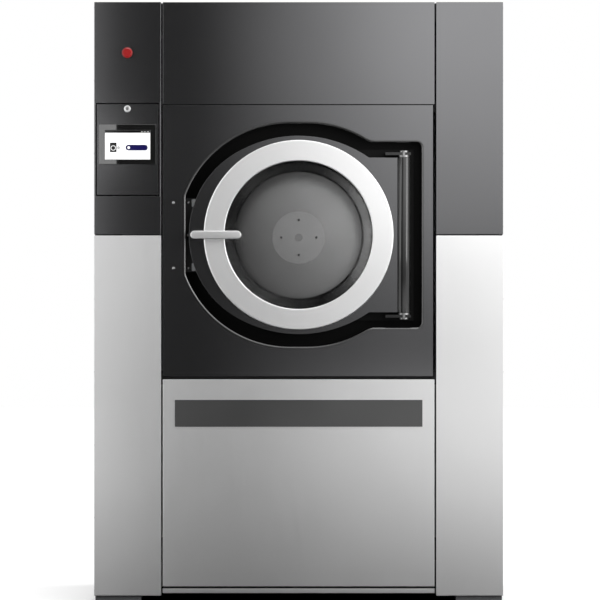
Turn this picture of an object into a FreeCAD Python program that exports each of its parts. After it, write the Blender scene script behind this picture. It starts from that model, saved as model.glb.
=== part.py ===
import FreeCAD, Part
import math
import operator
import os
from types import SimpleNamespace

import Sketcher

# A soft-mounted washer-extractor at its real size, in millimetres.
# +X is the viewer's right, the front faces -Y, +Z is up.
# The origin is on the floor, in the middle of the machine's box.

SIZES = {
    # cabinet
    "cabinet_width": 1480,
    "cabinet_depth": 1400,
    "cabinet_height": 2171,
    "centre_half_width": 498,
    "column_split_drop": 841,
    "column_split_gap": 4,
    "column_bottom_gap": 2,
    "sheet": 2,
    "flange_depth": 60,
    "cut_over": 5,
    "roof_drop": 2,
    # base and frame
    "foot_height": 20,
    "foot_width": 166,
    "foot_length": 200,
    "foot_inset": 10,
    "foot_side_inset": 4,
    "anchor_edge": 34,
    "anchor_hole_radius": 9,
    "beam_height": 120,
    "beam_width": 100,
    "beam_wall": 5,
    "cross_beam_width": 120,
    "cross_beam_height": 92,
    "post_size": 60,
    "post_wall": 4,
    "middle_rail_height": 1100,
    "panel_rail_height": 50,
    # centre panels
    "centre_set_back": 6,
    "centre_gap": 6,
    "door_panel_right_gap": 12,
    "upper_panel_height": 370,
    "upper_panel_gap": 3,
    "door_panel_drop": 511,
    "lower_panel_gap": 12,
    "lower_panel_bottom": 55.5,
    "sill_height": 16.5,
    "strip_side_inset": 44,
    "strip_drop": 74,
    "strip_height": 97,
    # recess round the door
    "drum_axis_drop": 843,
    "recess_radius": 412,
    "recess_spread": 31,
    "recess_left": 417,
    "recess_right": 453,
    "recess_tab_half": 343,
    "recess_corner_radius": 27,
    "recess_neck_radius": 60,
    "recess_left_radius": 40,
    "liner_clearance": 0.3,
    "liner_wall": 2,
    "liner_lip_width": 9,
    "liner_lip_depth": 12,
    "liner_lip_radius": 8,
    "liner_proud": 2,
    "liner_depth": 74,
    "liner_hole_clearance": 24,
    # door
    "fascia_rise": 359,
    "fascia_left": 397,
    "fascia_curve": 450,
    "fascia_thickness": 46,
    "fascia_wall": 4,
    "fascia_tab_half": 280,
    "ring_inner_radius": 267.5,
    "ring_outer_radius": 344,
    "ring_thickness": 12,
    "ring_edge": 3,
    "glass_wall": 8,
    "glass_bottom_radius": 230,
    "glass_depth": 96,
    "glass_flange": 23,
    "clamp_width": 14,
    "back_ring_thickness": 4,
    "back_ring_outer_radius": 340,
    # hinge
    "hinge_offset": 381,
    "hinge_set_back": 10,
    "hinge_tube_radius": 25,
    "hinge_tube_half": 282,
    "hinge_pin_radius": 10,
    "hinge_pin_reach": 70,
    "hinge_washer_radius": 21,
    "hinge_washer_height": 6.7,
    "hinge_bracket_height": 10,
    "hinge_bracket_width": 92,
    "hinge_head_height": 6,
    "hinge_head_radius": 17,
    "running_clearance": 0.05,
    "seat_clearance": 0.3,
    # handle and lock
    "handle_length": 184.5,
    "handle_height": 30,
    "handle_thickness": 10,
    "handle_gap": 26,
    "handle_spindle_offset": 376.5,
    "spindle_radius": 8,
    "bush_radius": 14,
    "bolt_length": 28,
    "bolt_height": 9,
    "bolt_thickness": 6,
    "bolt_pocket_radius": 31,
    "lock_plate_left": 410,
    "lock_plate_width": 53,
    "lock_plate_half": 134,
    "lock_plate_thickness": 12,
    "bolt_gap": 3,
    # tub
    "mouth_plate_gap": 14,
    "mouth_plate_thickness": 12,
    "mouth_radius": 285,
    "mouth_plate_radius": 345,
    "mouth_tab_half": 310,
    "mouth_tab_reach": 36,
    "seal_width": 40,
    "collar_wall": 6,
    "collar_length": 72,
    "tub_outer_radius": 460,
    "tub_wall": 3,
    "tub_plate": 4,
    "tub_back_room": 400,
    "tub_back_plate": 12,
    # drum
    "drum_radius": 435,
    "drum_wall": 3,
    "drum_mouth_radius": 240,
    "drum_front_gap": 21,
    "drum_back_gap": 45,
    "drum_lip_depth": 14,
    "drum_back_plate": 6,
    "lifter_count": 3,
    "lifter_height": 90,
    "lifter_width": 130,
    "lifter_tip": 30,
    "lifter_wall": 3,
    "lifter_end_gap": 40,
    "lifter_start": 30,
    "hub_plate_radius": 99,
    "hub_plate_thickness": 6,
    "hub_hole_radius": 15,
    "hub_bolt_circle": 66,
    "hub_bolt_radius": 11,
    "hub_bolt_height": 8,
    "hub_bolt_count": 4,
    "spider_hub_radius": 95,
    "spider_arm_width": 80,
    "spider_arm_count": 3,
    "spider_thickness": 24,
    "spider_reach": 415,
    "shaft_radius": 50,
    "shaft_length": 320,
    # bearings
    "housing_flange_radius": 200,
    "housing_flange": 25,
    "housing_radius": 110,
    "housing_length": 168,
    "bearing_outer_radius": 80,
    "bearing_width": 40,
    "bearing_inset": 23,
    "tub_back_hole_clearance": 15,
    "housing_bolt_circle": 160,
    "housing_bolt_radius": 13,
    "housing_bolt_height": 10,
    "housing_bolt_count": 8,
    # drive
    "pulley_room": 150,
    "drum_pulley_radius": 300,
    "motor_pulley_radius": 60,
    "pulley_hub_radius": 85,
    "pulley_hub_length": 80,
    "pulley_web": 20,
    "pulley_rim": 22,
    "pulley_rim_width": 56,
    "groove_pitch": 16,
    "groove_width": 12,
    "groove_bottom": 7,
    "groove_depth": 12,
    "groove_count": 3,
    "belt_width": 7.2,
    "belt_thickness": 9,
    "belt_proud": 1,
    "motor_axis_drop": 140,
    "motor_radius": 130,
    "motor_length": 380,
    "motor_reach": 490,
    "motor_block_width": 200,
    "motor_shaft_radius": 24,
    "motor_bore_depth": 60,
    # cradle and suspension
    "cradle_drop": 628,
    "cradle_height": 80,
    "cradle_bar_width": 60,
    "spring_offset": 380,
    "spring_front_inset": 200,
    "spring_rear_inset": 280,
    "cradle_overhang": 40,
    "motor_bar_inset": 590,
    "saddle_thickness": 20,
    "saddle_height": 220,
    "saddle_front_inset": 290,
    "saddle_rear_inset": 490,
    "pedestal_size": 120,
    "spring_length": 210,
    "spring_plate": 10,
    "spring_plate_radius": 70,
    "bellows_radius": 88,
    "bellows_waist": 66,
    "bellows_lobes": 3,
    "bellows_wall": 6,
    "damper_offset": 280,
    "damper_radius": 26,
    "damper_floor": 40,
    "damper_rod_radius": 9,
    # water
    "drain_offset": 200,
    "drain_inset": 550,
    "drain_radius": 38,
    "drain_wall": 3,
    "drain_spigot_step": 2,
    "sump_radius": 60,
    "sump_drop": 60,
    "drain_bellows_length": 150,
    "drain_valve_size": 130,
    "drain_valve_height": 140,
    "rear_reach": 48,
    "pipe_hole_clearance": 4,
    "pipe_bracket_width": 60,
    "inlet_offset": 250,
    "inlet_inset": 470,
    "inlet_pitch": 90,
    "inlet_drop": 261,
    "inlet_radius": 13.2,
    "inlet_bore": 9,
    "inlet_valve_radius": 24,
    "inlet_valve_length": 90,
    "manifold_size": 160,
    "manifold_depth": 80,
    "manifold_height": 60,
    "hose_radius": 32,
    "hose_waist": 26,
    "hose_rib_count": 6,
    "hose_wall": 4,
    "hose_length": 120,
    "spout_radius": 30,
    # controls
    "control_shift": 1,
    "stop_drop": 184,
    "stop_collar_radius": 21,
    "stop_collar_height": 4,
    "stop_barrel_radius": 11,
    "stop_barrel_length": 50,
    "stop_head_radius": 19,
    "stop_head_height": 16,
    "stop_stem_radius": 6,
    "stop_travel_gap": 8,
    "control_side_gap": 10,
    "control_inner_gap": 9,
    "control_drop": 370,
    "control_height": 328,
    "control_gap": 4,
    "control_depth": 40,
    "control_hinge_inset": 6,
    "control_pin_radius": 2,
    "control_lug_radius": 3.6,
    "control_lug_width": 8,
    "control_lug_height": 12,
    "control_bracket_depth": 14,
    "bezel_left_gap": 7,
    "bezel_right_gap": 9,
    "bezel_drop": 73,
    "bezel_height": 144,
    "bezel_thickness": 7,
    "bezel_inset": 8,
    "bezel_body_depth": 28,
    "screen_left_gap": 22,
    "screen_right_gap": 21,
    "screen_bottom_gap": 17,
    "screen_top_gap": 21,
    "screen_recess": 1,
    "screen_thickness": 3,
    "key_drop": 19,
    "key_proud": 3,
    "key_plug_radius": 8,
    "key_slot": 2,
    "key_length": 26,
    "key_cam_length": 13,
    "key_cam_width": 10,
    "key_cam_thickness": 4,
    "control_box_width": 158,
    "control_box_inset": 200,
    "control_box_depth": 400,
    "control_box_height": 690,
    "control_box_lap": 33,
    "switch_inset": 140,
    "switch_drop": 471,
    "switch_size": 90,
    "switch_depth": 20,
    "switch_knob_radius": 26,
    "switch_knob_height": 22,
    "switch_stem_radius": 5,
    "gland_drop": 200,
    "gland_radius": 18,
    "gland_bore": 10,
    "gland_length": 42,
    # rear covers
    "drive_cover_half": 370,
    "drive_cover_drop": 828,
    "drive_cover_rise": 392,
    "drive_cover_lap": 25,
}


# The sizes and the helpers that bind shapes to them

class Size:
    """A number together with the sheet expression that gives it."""

    def __init__(self, value, text):
        self.value = value
        self.text = text

    def __add__(self, other):
        return combine(self, "+", other)

    def __radd__(self, other):
        return combine(other, "+", self)

    def __sub__(self, other):
        return combine(self, "-", other)

    def __rsub__(self, other):
        return combine(other, "-", self)

    def __mul__(self, other):
        return combine(self, "*", other)

    def __rmul__(self, other):
        return combine(other, "*", self)

    def __truediv__(self, other):
        return combine(self, "/", other)

    def __neg__(self):
        return combine(0, "-", self)


SIGNS = {"+": operator.add, "-": operator.sub, "*": operator.mul, "/": operator.truediv}


def as_size(number):
    return number if isinstance(number, Size) else Size(number, repr(number))


def combine(left, sign, right):
    left = as_size(left)
    right = as_size(right)
    value = SIGNS[sign](left.value, right.value)
    return Size(value, f"({left.text} {sign} {right.text})")


def root(size):
    return Size(math.sqrt(size.value), f"sqrt({size.text})")


def around(radius, degrees):
    """Sideways and upward steps of a point on a circle."""
    angle = math.radians(degrees)
    across = Size(radius.value * math.cos(angle), f"({radius.text} * cos({degrees}))")
    up = Size(radius.value * math.sin(angle), f"({radius.text} * sin({degrees}))")
    return across, up


doc = FreeCAD.newDocument("washer_extractor")
sheet = doc.addObject("Spreadsheet::Sheet", "Sizes")
for row, (alias, number) in enumerate(SIZES.items(), start=1):
    sheet.set(f"A{row}", alias)
    sheet.set(f"B{row}", str(number))
    sheet.setAlias(f"B{row}", alias)
doc.recompute()
S = SimpleNamespace(**{alias: Size(number, f"Sizes.{alias}") for alias, number in SIZES.items()})

UP = FreeCAD.Vector(0, 0, 1)
DIRECTIONS = {
    "X": FreeCAD.Vector(1, 0, 0),
    "Y": FreeCAD.Vector(0, 1, 0),
    "Z": UP,
}
sub_parts = []


def bind(feature, name, size):
    feature.setExpression(name, as_size(size).text)


def set_place(feature, x, y, z):
    bind(feature, "Placement.Base.x", x)
    bind(feature, "Placement.Base.y", y)
    bind(feature, "Placement.Base.z", z)


def block(low, high):
    """A box from its low corner to its high corner."""
    box = doc.addObject("Part::Box", "Block")
    for name, start, end in zip(("Length", "Width", "Height"), low, high):
        bind(box, name, as_size(end) - start)
    set_place(box, *low)
    return box


def rod(start, axis, length, radius):
    """A cylinder from the centre of its first end, along X, Y or Z."""
    cylinder = doc.addObject("Part::Cylinder", "Rod")
    cylinder.Placement.Rotation = FreeCAD.Rotation(UP, DIRECTIONS[axis])
    bind(cylinder, "Height", length)
    bind(cylinder, "Radius", radius)
    set_place(cylinder, *start)
    return cylinder


def hexagon(start, axis, length, radius):
    """A hexagonal bolt head, sized by the circle through its corners."""
    prism = doc.addObject("Part::Prism", "Hexagon")
    prism.Placement.Rotation = FreeCAD.Rotation(UP, DIRECTIONS[axis])
    prism.Polygon = 6
    bind(prism, "Circumradius", radius)
    bind(prism, "Height", length)
    set_place(prism, *start)
    return prism


def cut(base, *tools):
    for tool in tools:
        result = doc.addObject("Part::Cut", "Cut")
        result.Base = base
        result.Tool = tool
        base = result
    return base


def fuse(*pieces):
    result = doc.addObject("Part::MultiFuse", "Fuse")
    result.Shapes = list(pieces)
    result.Refine = True
    return result


def common(first, second):
    result = doc.addObject("Part::MultiCommon", "Common")
    result.Shapes = [first, second]
    result.Refine = True
    return result


def group(*pieces):
    """Separate solids that share one node."""
    result = doc.addObject("Part::Compound", "Group")
    result.Links = list(pieces)
    return result


def round_edges(base, radius_of):
    """Round each edge for which radius_of gives a radius."""
    doc.recompute()
    edges = []
    for index, edge in enumerate(base.Shape.Edges, start=1):
        radius = radius_of(edge)
        if radius:
            edges.append((index, radius, radius))
    result = doc.addObject("Part::Fillet", "Rounded")
    result.Base = base
    result.Edges = edges
    return result


def name_part(label, feature):
    feature.Label = label
    sub_parts.append(feature)
    return feature


def tube(low, high, axis, wall):
    """A box section, open at both ends along one axis."""
    inner_low = [as_size(a) + wall for a in low]
    inner_high = [as_size(b) - wall for b in high]
    along = "XYZ".index(axis)
    inner_low[along] = as_size(low[along]) - S.cut_over
    inner_high[along] = as_size(high[along]) + S.cut_over
    return cut(block(low, high), block(inner_low, inner_high))


def tray(left, right, bottom, top, face, depth):
    """A folded sheet panel: a front face at y = face, with flanges to the back."""
    outer = block((left, face, bottom), (right, face + depth, top))
    inner_low = (left + S.sheet, face + S.sheet, bottom + S.sheet)
    inner_high = (right - S.sheet, face + depth + S.cut_over, top - S.sheet)
    return cut(outer, block(inner_low, inner_high))


def new_sketch(body, role):
    sketch = body.newObject("Sketcher::SketchObject", "Outline")
    plane = next(item for item in body.Origin.OriginFeatures if item.Role == role)
    sketch.AttachmentSupport = [(plane, "")]
    sketch.MapMode = "FlatFace"
    return sketch


def fix_point(sketch, edge, end, across, up):
    """Hold one end of an edge at its distances from the sketch's origin."""
    for kind, axis, size in (("DistanceX", -2, across), ("DistanceY", -1, up)):
        size = as_size(size)
        if size.value == 0:
            sketch.addConstraint(Sketcher.Constraint("PointOnObject", edge, end, axis))
        else:
            rule = Sketcher.Constraint(kind, -1, 1, edge, end, size.value)
            index = sketch.addConstraint(rule)
            sketch.setExpression(f"Constraints[{index}]", size.text)


def polygon_sketch(body, role, points):
    """A closed outline of straight edges."""
    sketch = new_sketch(body, role)
    corners = [FreeCAD.Vector(as_size(a).value, as_size(b).value, 0) for a, b in points]
    count = len(corners)
    for index, corner in enumerate(corners):
        sketch.addGeometry(Part.LineSegment(corner, corners[(index + 1) % count]))
    for index in range(count):
        sketch.addConstraint(Sketcher.Constraint("Coincident", index, 2, (index + 1) % count, 1))
    for index, (across, up) in enumerate(points):
        fix_point(sketch, index, 1, across, up)
    return sketch


def revolved(points, x, y, z, role="XY_Plane"):
    """Points are (radius, distance along the axis). The axis is Y, or Z on the XZ plane."""
    body = doc.addObject("PartDesign::Body", "Body")
    sketch = polygon_sketch(body, role, points)
    turned = body.newObject("PartDesign::Revolution", "Revolution")
    turned.Profile = sketch
    turned.ReferenceAxis = (sketch, ["V_Axis"])
    turned.Angle = 360
    set_place(body, x, y, z)
    return body


def revolved_y(points, z):
    """Turned about the Y axis, at the middle of the machine and at height z."""
    return revolved(points, 0, 0, z)


def ring(inner, outer, front, back, z):
    return revolved_y([(inner, front), (outer, front), (outer, back), (inner, back)], z)


def padded(body, sketch, length):
    """Extrude a sketch on the XZ plane towards the front."""
    pad = body.newObject("PartDesign::Pad", "Pad")
    pad.Profile = sketch
    bind(pad, "Length", length)
    return body


def add_free_arc(sketch, centre, radius, start, end):
    """An arc between two angles in degrees, with only its radius held."""
    middle = FreeCAD.Vector(as_size(centre[0]).value, as_size(centre[1]).value, 0)
    circle = Part.Circle(middle, UP, radius.value)
    index = sketch.addGeometry(Part.ArcOfCircle(circle, math.radians(start), math.radians(end)))
    rule = sketch.addConstraint(Sketcher.Constraint("Radius", index, radius.value))
    sketch.setExpression(f"Constraints[{rule}]", radius.text)
    return index


def add_arc(sketch, centre, radius, start, end):
    """An arc between two angles in degrees, with its centre and radius held."""
    index = add_free_arc(sketch, centre, radius, start, end)
    fix_point(sketch, index, 3, *centre)
    return index


def add_line(sketch, start, end):
    return sketch.addGeometry(Part.LineSegment(start, end))


def arc_ends(sketch, index):
    arc = sketch.Geometry[index]
    return arc.StartPoint, arc.EndPoint


# Places worked out from the sizes

FRONT = -S.cabinet_depth / 2
REAR = S.cabinet_depth / 2
SIDE = S.cabinet_width / 2
COLUMN_INNER = S.centre_half_width
COLUMN_SPLIT = S.cabinet_height - S.column_split_drop
FRAME_FRONT = FRONT + S.flange_depth
FRAME_REAR = REAR - S.sheet
FRAME_TOP = S.cabinet_height - S.roof_drop - S.sheet
POST_OUTER = SIDE - S.sheet
POST_INNER = POST_OUTER - S.post_size
BASE_TOP = S.foot_height + S.beam_height
BEAM_INNER = POST_OUTER - S.beam_width
CROSS_BEAM_BOTTOM = BASE_TOP - S.cross_beam_height
CENTRE_FACE = FRONT + S.centre_set_back
CENTRE_DEPTH = S.flange_depth - S.centre_set_back
CENTRE_SIDE = COLUMN_INNER - S.centre_gap
AXIS = S.cabinet_height - S.drum_axis_drop
UPPER_PANEL_BOTTOM = S.cabinet_height - S.upper_panel_height
DOOR_PANEL_TOP = UPPER_PANEL_BOTTOM - S.upper_panel_gap
DOOR_PANEL_BOTTOM = AXIS - S.door_panel_drop
LOWER_PANEL_TOP = DOOR_PANEL_BOTTOM - S.lower_panel_gap
STRIP_SIDE = CENTRE_SIDE - S.strip_side_inset
STRIP_TOP = LOWER_PANEL_TOP - S.strip_drop
REAR_END = REAR + S.rear_reach

FASCIA_BACK = FRONT + S.fascia_thickness
RING_FRONT = FRONT - S.ring_thickness
HANDLE_BACK = RING_FRONT - S.handle_gap
GLASS_FRONT = FRONT + S.fascia_wall + S.seat_clearance
GLASS_BACK = GLASS_FRONT + S.glass_depth
GLASS_FLANGE_BACK = GLASS_FRONT + S.glass_wall
GLASS_MOUTH = S.ring_inner_radius
GLASS_OUTER = GLASS_MOUTH + S.glass_flange
HINGE_Y = FRONT + S.hinge_set_back
TUBE_END = S.hinge_tube_half

MOUTH_FRONT = FASCIA_BACK + S.mouth_plate_gap
MOUTH_BACK = MOUTH_FRONT + S.mouth_plate_thickness
TUB_FRONT = MOUTH_BACK + S.collar_length
TUB_BACK = REAR - S.tub_back_room
HOUSING_START = TUB_BACK + S.tub_back_plate
HOUSING_END = HOUSING_START + S.housing_length
DRUM_FRONT = TUB_FRONT + S.drum_front_gap
DRUM_BACK = TUB_BACK - S.drum_back_gap
SPIDER_START = DRUM_BACK + S.drum_back_plate
SHAFT_START = SPIDER_START + S.spider_thickness
SHAFT_BORE = S.shaft_radius + S.running_clearance

SPRING_FRONT = FRONT + S.spring_front_inset
SPRING_REAR = REAR - S.spring_rear_inset
CRADLE_BOTTOM = AXIS - S.cradle_drop
CRADLE_TOP = CRADLE_BOTTOM + S.cradle_height
SPRING_TOP = CRADLE_BOTTOM - S.spring_plate
SPRING_BOTTOM = SPRING_TOP - S.spring_length
PEDESTAL_TOP = SPRING_BOTTOM - S.spring_plate
DAMPER_BORE_BOTTOM = BASE_TOP + S.damper_floor
MOTOR_AXIS = CRADLE_BOTTOM - S.motor_axis_drop
PULLEY_PLANE = REAR - S.pulley_room
MOTOR_FRONT = PULLEY_PLANE - S.motor_reach
MOTOR_END = MOTOR_FRONT + S.motor_length
MOTOR_BAR = REAR - S.motor_bar_inset
DRAIN_Y = FRONT + S.drain_inset
INLET_Y = REAR - S.inlet_inset
SUMP_BOTTOM = CRADLE_BOTTOM - S.sump_drop
DRAIN_VALVE_TOP = SUMP_BOTTOM - S.drain_bellows_length
DRAIN_VALVE_BOTTOM = DRAIN_VALVE_TOP - S.drain_valve_height
DRAIN_HEIGHT = DRAIN_VALVE_BOTTOM + S.drain_valve_height / 2
INLET_HEIGHT = S.cabinet_height - S.inlet_drop
HOSE_TOP = INLET_HEIGHT - S.manifold_height / 2
HOSE_BOTTOM = HOSE_TOP - S.hose_length

CONTROL_LEFT = S.control_side_gap - SIDE
CONTROL_RIGHT = -COLUMN_INNER - S.control_inner_gap
CONTROL_MIDDLE = -(SIDE + COLUMN_INNER) / 2 - S.control_shift
CONTROL_TOP = S.cabinet_height - S.control_drop
CONTROL_BOTTOM = CONTROL_TOP - S.control_height
CONTROL_HINGE_Y = FRONT + S.control_hinge_inset
CONTROL_HINGE_Z = CONTROL_BOTTOM + S.control_hinge_inset
STOP_HEIGHT = S.cabinet_height - S.stop_drop
KEY_HEIGHT = CONTROL_TOP - S.key_drop
BEZEL_LEFT = CONTROL_LEFT + S.bezel_left_gap
BEZEL_RIGHT = CONTROL_RIGHT - S.bezel_right_gap
BEZEL_TOP = CONTROL_TOP - S.bezel_drop
BEZEL_BOTTOM = BEZEL_TOP - S.bezel_height
SCREEN_LEFT = BEZEL_LEFT + S.screen_left_gap
SCREEN_RIGHT = BEZEL_RIGHT - S.screen_right_gap
SCREEN_TOP = BEZEL_TOP - S.screen_top_gap
SCREEN_BOTTOM = BEZEL_BOTTOM + S.screen_bottom_gap
SWITCH_X = SIDE - S.switch_inset
SWITCH_HEIGHT = S.cabinet_height - S.switch_drop
GLAND_HEIGHT = SWITCH_HEIGHT - S.gland_drop
DRIVE_COVER_BOTTOM = AXIS - S.drive_cover_drop
DRIVE_COVER_TOP = AXIS + S.drive_cover_rise
SPRING_PLACES = [(-S.spring_offset, SPRING_FRONT), (S.spring_offset, SPRING_FRONT),
                 (-S.spring_offset, SPRING_REAR), (S.spring_offset, SPRING_REAR)]
DAMPER_PLACES = [(-S.damper_offset, SPRING_FRONT), (S.damper_offset, SPRING_FRONT),
                 (-S.damper_offset, SPRING_REAR), (S.damper_offset, SPRING_REAR)]


def side_x(side, near, far):
    """Low and high x of something between two distances from the middle."""
    return (near, far) if side > 0 else (-far, -near)


def side_block(side, near, far, y_low, y_high, z_low, z_high):
    x_low, x_high = side_x(side, near, far)
    return block((x_low, y_low, z_low), (x_high, y_high, z_high))


def side_tube(side, near, far, y_low, y_high, z_low, z_high, axis, wall):
    x_low, x_high = side_x(side, near, far)
    return tube((x_low, y_low, z_low), (x_high, y_high, z_high), axis, wall)


# Base and frame

def floor_plates():
    outer = SIDE - S.foot_side_inset
    inner = outer - S.foot_width
    hole_x = inner + S.anchor_edge
    plates = []
    for side in (-1, 1):
        for y_low in (FRONT + S.foot_inset, REAR - S.foot_inset - S.foot_length):
            plate = side_block(side, inner, outer, y_low, y_low + S.foot_length, 0, S.foot_height)
            start = (side * hole_x, y_low + S.foot_length / 2, -S.cut_over)
            hole = rod(start, "Z", S.foot_height + 2 * S.cut_over, S.anchor_hole_radius)
            plates.append(cut(plate, hole))
    return plates


def base_frame():
    beams = []
    for side in (-1, 1):
        beams.append(side_tube(side, BEAM_INNER, POST_OUTER, FRAME_FRONT, FRAME_REAR,
                               S.foot_height, BASE_TOP, "Y", S.beam_wall))
    for middle in (SPRING_FRONT, SPRING_REAR):
        low = (-BEAM_INNER, middle - S.cross_beam_width / 2, CROSS_BEAM_BOTTOM)
        high = (BEAM_INNER, middle + S.cross_beam_width / 2, BASE_TOP)
        beams.append(tube(low, high, "X", S.beam_wall))
    return group(*beams, *floor_plates())


def side_frame(side):
    front_back = FRAME_FRONT + S.post_size
    rear_front = FRAME_REAR - S.post_size
    bars = []
    for y_low, y_high in ((FRAME_FRONT, front_back), (rear_front, FRAME_REAR)):
        bars.append(side_tube(side, POST_INNER, POST_OUTER, y_low, y_high,
                              BASE_TOP, FRAME_TOP, "Z", S.post_wall))
    for z_low in (S.middle_rail_height, FRAME_TOP - S.post_size):
        bars.append(side_tube(side, POST_INNER, POST_OUTER, front_back, rear_front,
                              z_low, z_low + S.post_size, "Y", S.post_wall))
    return bars


def cross_rail(y_low, z_low, height):
    low = (-POST_INNER, y_low, z_low)
    high = (POST_INNER, y_low + S.post_size, z_low + height)
    return tube(low, high, "X", S.post_wall)


def panel_rail(joint, gap):
    """A rail behind the gap between two centre panels."""
    z_low = joint - gap / 2 - S.panel_rail_height / 2
    return cross_rail(FRAME_FRONT, z_low, S.panel_rail_height)


def control_hinge():
    """A bracket on the front post, with two lugs whose pins carry the control cover."""
    reach = S.sheet + S.seat_clearance
    left = CONTROL_LEFT + reach
    right = CONTROL_RIGHT - reach
    bottom = CONTROL_HINGE_Z - S.control_lug_radius
    top = CONTROL_HINGE_Z + S.control_lug_height
    plate_front = FRAME_FRONT - S.control_bracket_depth
    pieces = [block((left, plate_front, bottom), (right, FRAME_FRONT, top))]
    for lug_left, pin_start in ((left, left - reach), (right - S.control_lug_width, right)):
        pieces.append(block((lug_left, CONTROL_HINGE_Y, bottom),
                            (lug_left + S.control_lug_width, plate_front, top)))
        pieces.append(rod((lug_left, CONTROL_HINGE_Y, CONTROL_HINGE_Z), "X", S.control_lug_width,
                          S.control_lug_radius))
        pieces.append(rod((pin_start, CONTROL_HINGE_Y, CONTROL_HINGE_Z), "X", reach, S.control_pin_radius))
    return fuse(*pieces)


def side_frames():
    return group(*side_frame(-1), *side_frame(1), control_hinge())


def cross_rails():
    top = FRAME_TOP - S.post_size
    return group(
        cross_rail(FRAME_FRONT, top, S.post_size),
        cross_rail(FRAME_REAR - S.post_size, top, S.post_size),
        panel_rail(UPPER_PANEL_BOTTOM, S.upper_panel_gap),
        panel_rail(DOOR_PANEL_BOTTOM, S.lower_panel_gap),
    )


name_part("base_frame", base_frame())
name_part("side_frames", side_frames())
name_part("cross_rails", cross_rails())


# Cabinet covers

def column_cover(side, bottom, top):
    left, right = side_x(side, COLUMN_INNER, SIDE)
    return tray(left, right, bottom, top, FRONT, S.flange_depth)


def left_upper_cover():
    window_low = (CONTROL_LEFT - S.control_gap, FRONT - S.cut_over, CONTROL_BOTTOM - S.control_gap)
    window_high = (CONTROL_RIGHT + S.control_gap, FRONT + S.cut_over, CONTROL_TOP + S.control_gap)
    stop_start = (CONTROL_MIDDLE, FRONT - S.cut_over, STOP_HEIGHT)
    stop_hole = rod(stop_start, "Y", 2 * S.cut_over, S.stop_barrel_radius + S.seat_clearance)
    cover = column_cover(-1, COLUMN_SPLIT, S.cabinet_height)
    return cut(cover, block(window_low, window_high), stop_hole)


def lower_column_covers():
    bottom = S.foot_height + S.column_bottom_gap
    top = COLUMN_SPLIT - S.column_split_gap
    return group(column_cover(-1, bottom, top), column_cover(1, bottom, top))


def side_panel(side):
    return side_block(side, POST_OUTER, SIDE, FRAME_FRONT + S.column_split_gap, REAR,
                      S.foot_height + S.column_bottom_gap, FRAME_TOP)


def rear_panel():
    panel = block((-POST_OUTER, FRAME_REAR, BASE_TOP), (POST_OUTER, REAR, FRAME_TOP))
    opening = S.drive_cover_half - S.drive_cover_lap
    window = block((-opening, FRAME_REAR - S.cut_over, DRIVE_COVER_BOTTOM + S.drive_cover_lap),
                   (opening, REAR + S.cut_over, DRIVE_COVER_TOP - S.drive_cover_lap))
    holes = [(-S.drain_offset, DRAIN_HEIGHT, S.drain_radius + S.pipe_hole_clearance),
             (SWITCH_X, GLAND_HEIGHT, S.gland_radius + S.seat_clearance)]
    for x in inlet_places():
        holes.append((x, INLET_HEIGHT, S.inlet_valve_radius + S.seat_clearance))
    drills = [rod((x, FRAME_REAR - S.cut_over, z), "Y", S.sheet + 2 * S.cut_over, radius)
              for x, z, radius in holes]
    return cut(panel, window, *drills)


def inlet_places():
    return (-S.inlet_offset - S.inlet_pitch / 2, -S.inlet_offset + S.inlet_pitch / 2)


def drive_cover():
    return block((-S.drive_cover_half, REAR, DRIVE_COVER_BOTTOM),
                 (S.drive_cover_half, REAR + S.sheet, DRIVE_COVER_TOP))


def roof():
    return block((-POST_OUTER, FRAME_FRONT, FRAME_TOP), (POST_OUTER, REAR, FRAME_TOP + S.sheet))


def sill_strip():
    lip_low = (-CENTRE_SIDE, CENTRE_FACE, CROSS_BEAM_BOTTOM - S.sill_height)
    lip_high = (CENTRE_SIDE, CENTRE_FACE + S.sheet, CROSS_BEAM_BOTTOM)
    shelf_low = (-CENTRE_SIDE, CENTRE_FACE, CROSS_BEAM_BOTTOM - S.sheet)
    shelf_high = (CENTRE_SIDE, SPRING_FRONT, CROSS_BEAM_BOTTOM)
    return fuse(block(lip_low, lip_high), block(shelf_low, shelf_high))


name_part("left_upper_cover", left_upper_cover())
name_part("right_upper_cover", column_cover(1, COLUMN_SPLIT, S.cabinet_height))
name_part("lower_column_covers", lower_column_covers())
name_part("side_panels", group(side_panel(-1), side_panel(1)))
name_part("rear_panel", rear_panel())
name_part("drive_cover", drive_cover())
name_part("roof", roof())
name_part("upper_centre_panel", tray(-CENTRE_SIDE, CENTRE_SIDE, UPPER_PANEL_BOTTOM, S.cabinet_height,
                                     CENTRE_FACE, CENTRE_DEPTH))
name_part("lower_panel", tray(-CENTRE_SIDE, CENTRE_SIDE, S.lower_panel_bottom, LOWER_PANEL_TOP,
                              CENTRE_FACE, CENTRE_DEPTH))
name_part("accent_strip", block((-STRIP_SIDE, CENTRE_FACE - S.sheet, STRIP_TOP - S.strip_height),
                                (STRIP_SIDE, CENTRE_FACE, STRIP_TOP)))
name_part("sill_strip", sill_strip())


# Door panel and the recess liner behind it

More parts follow.
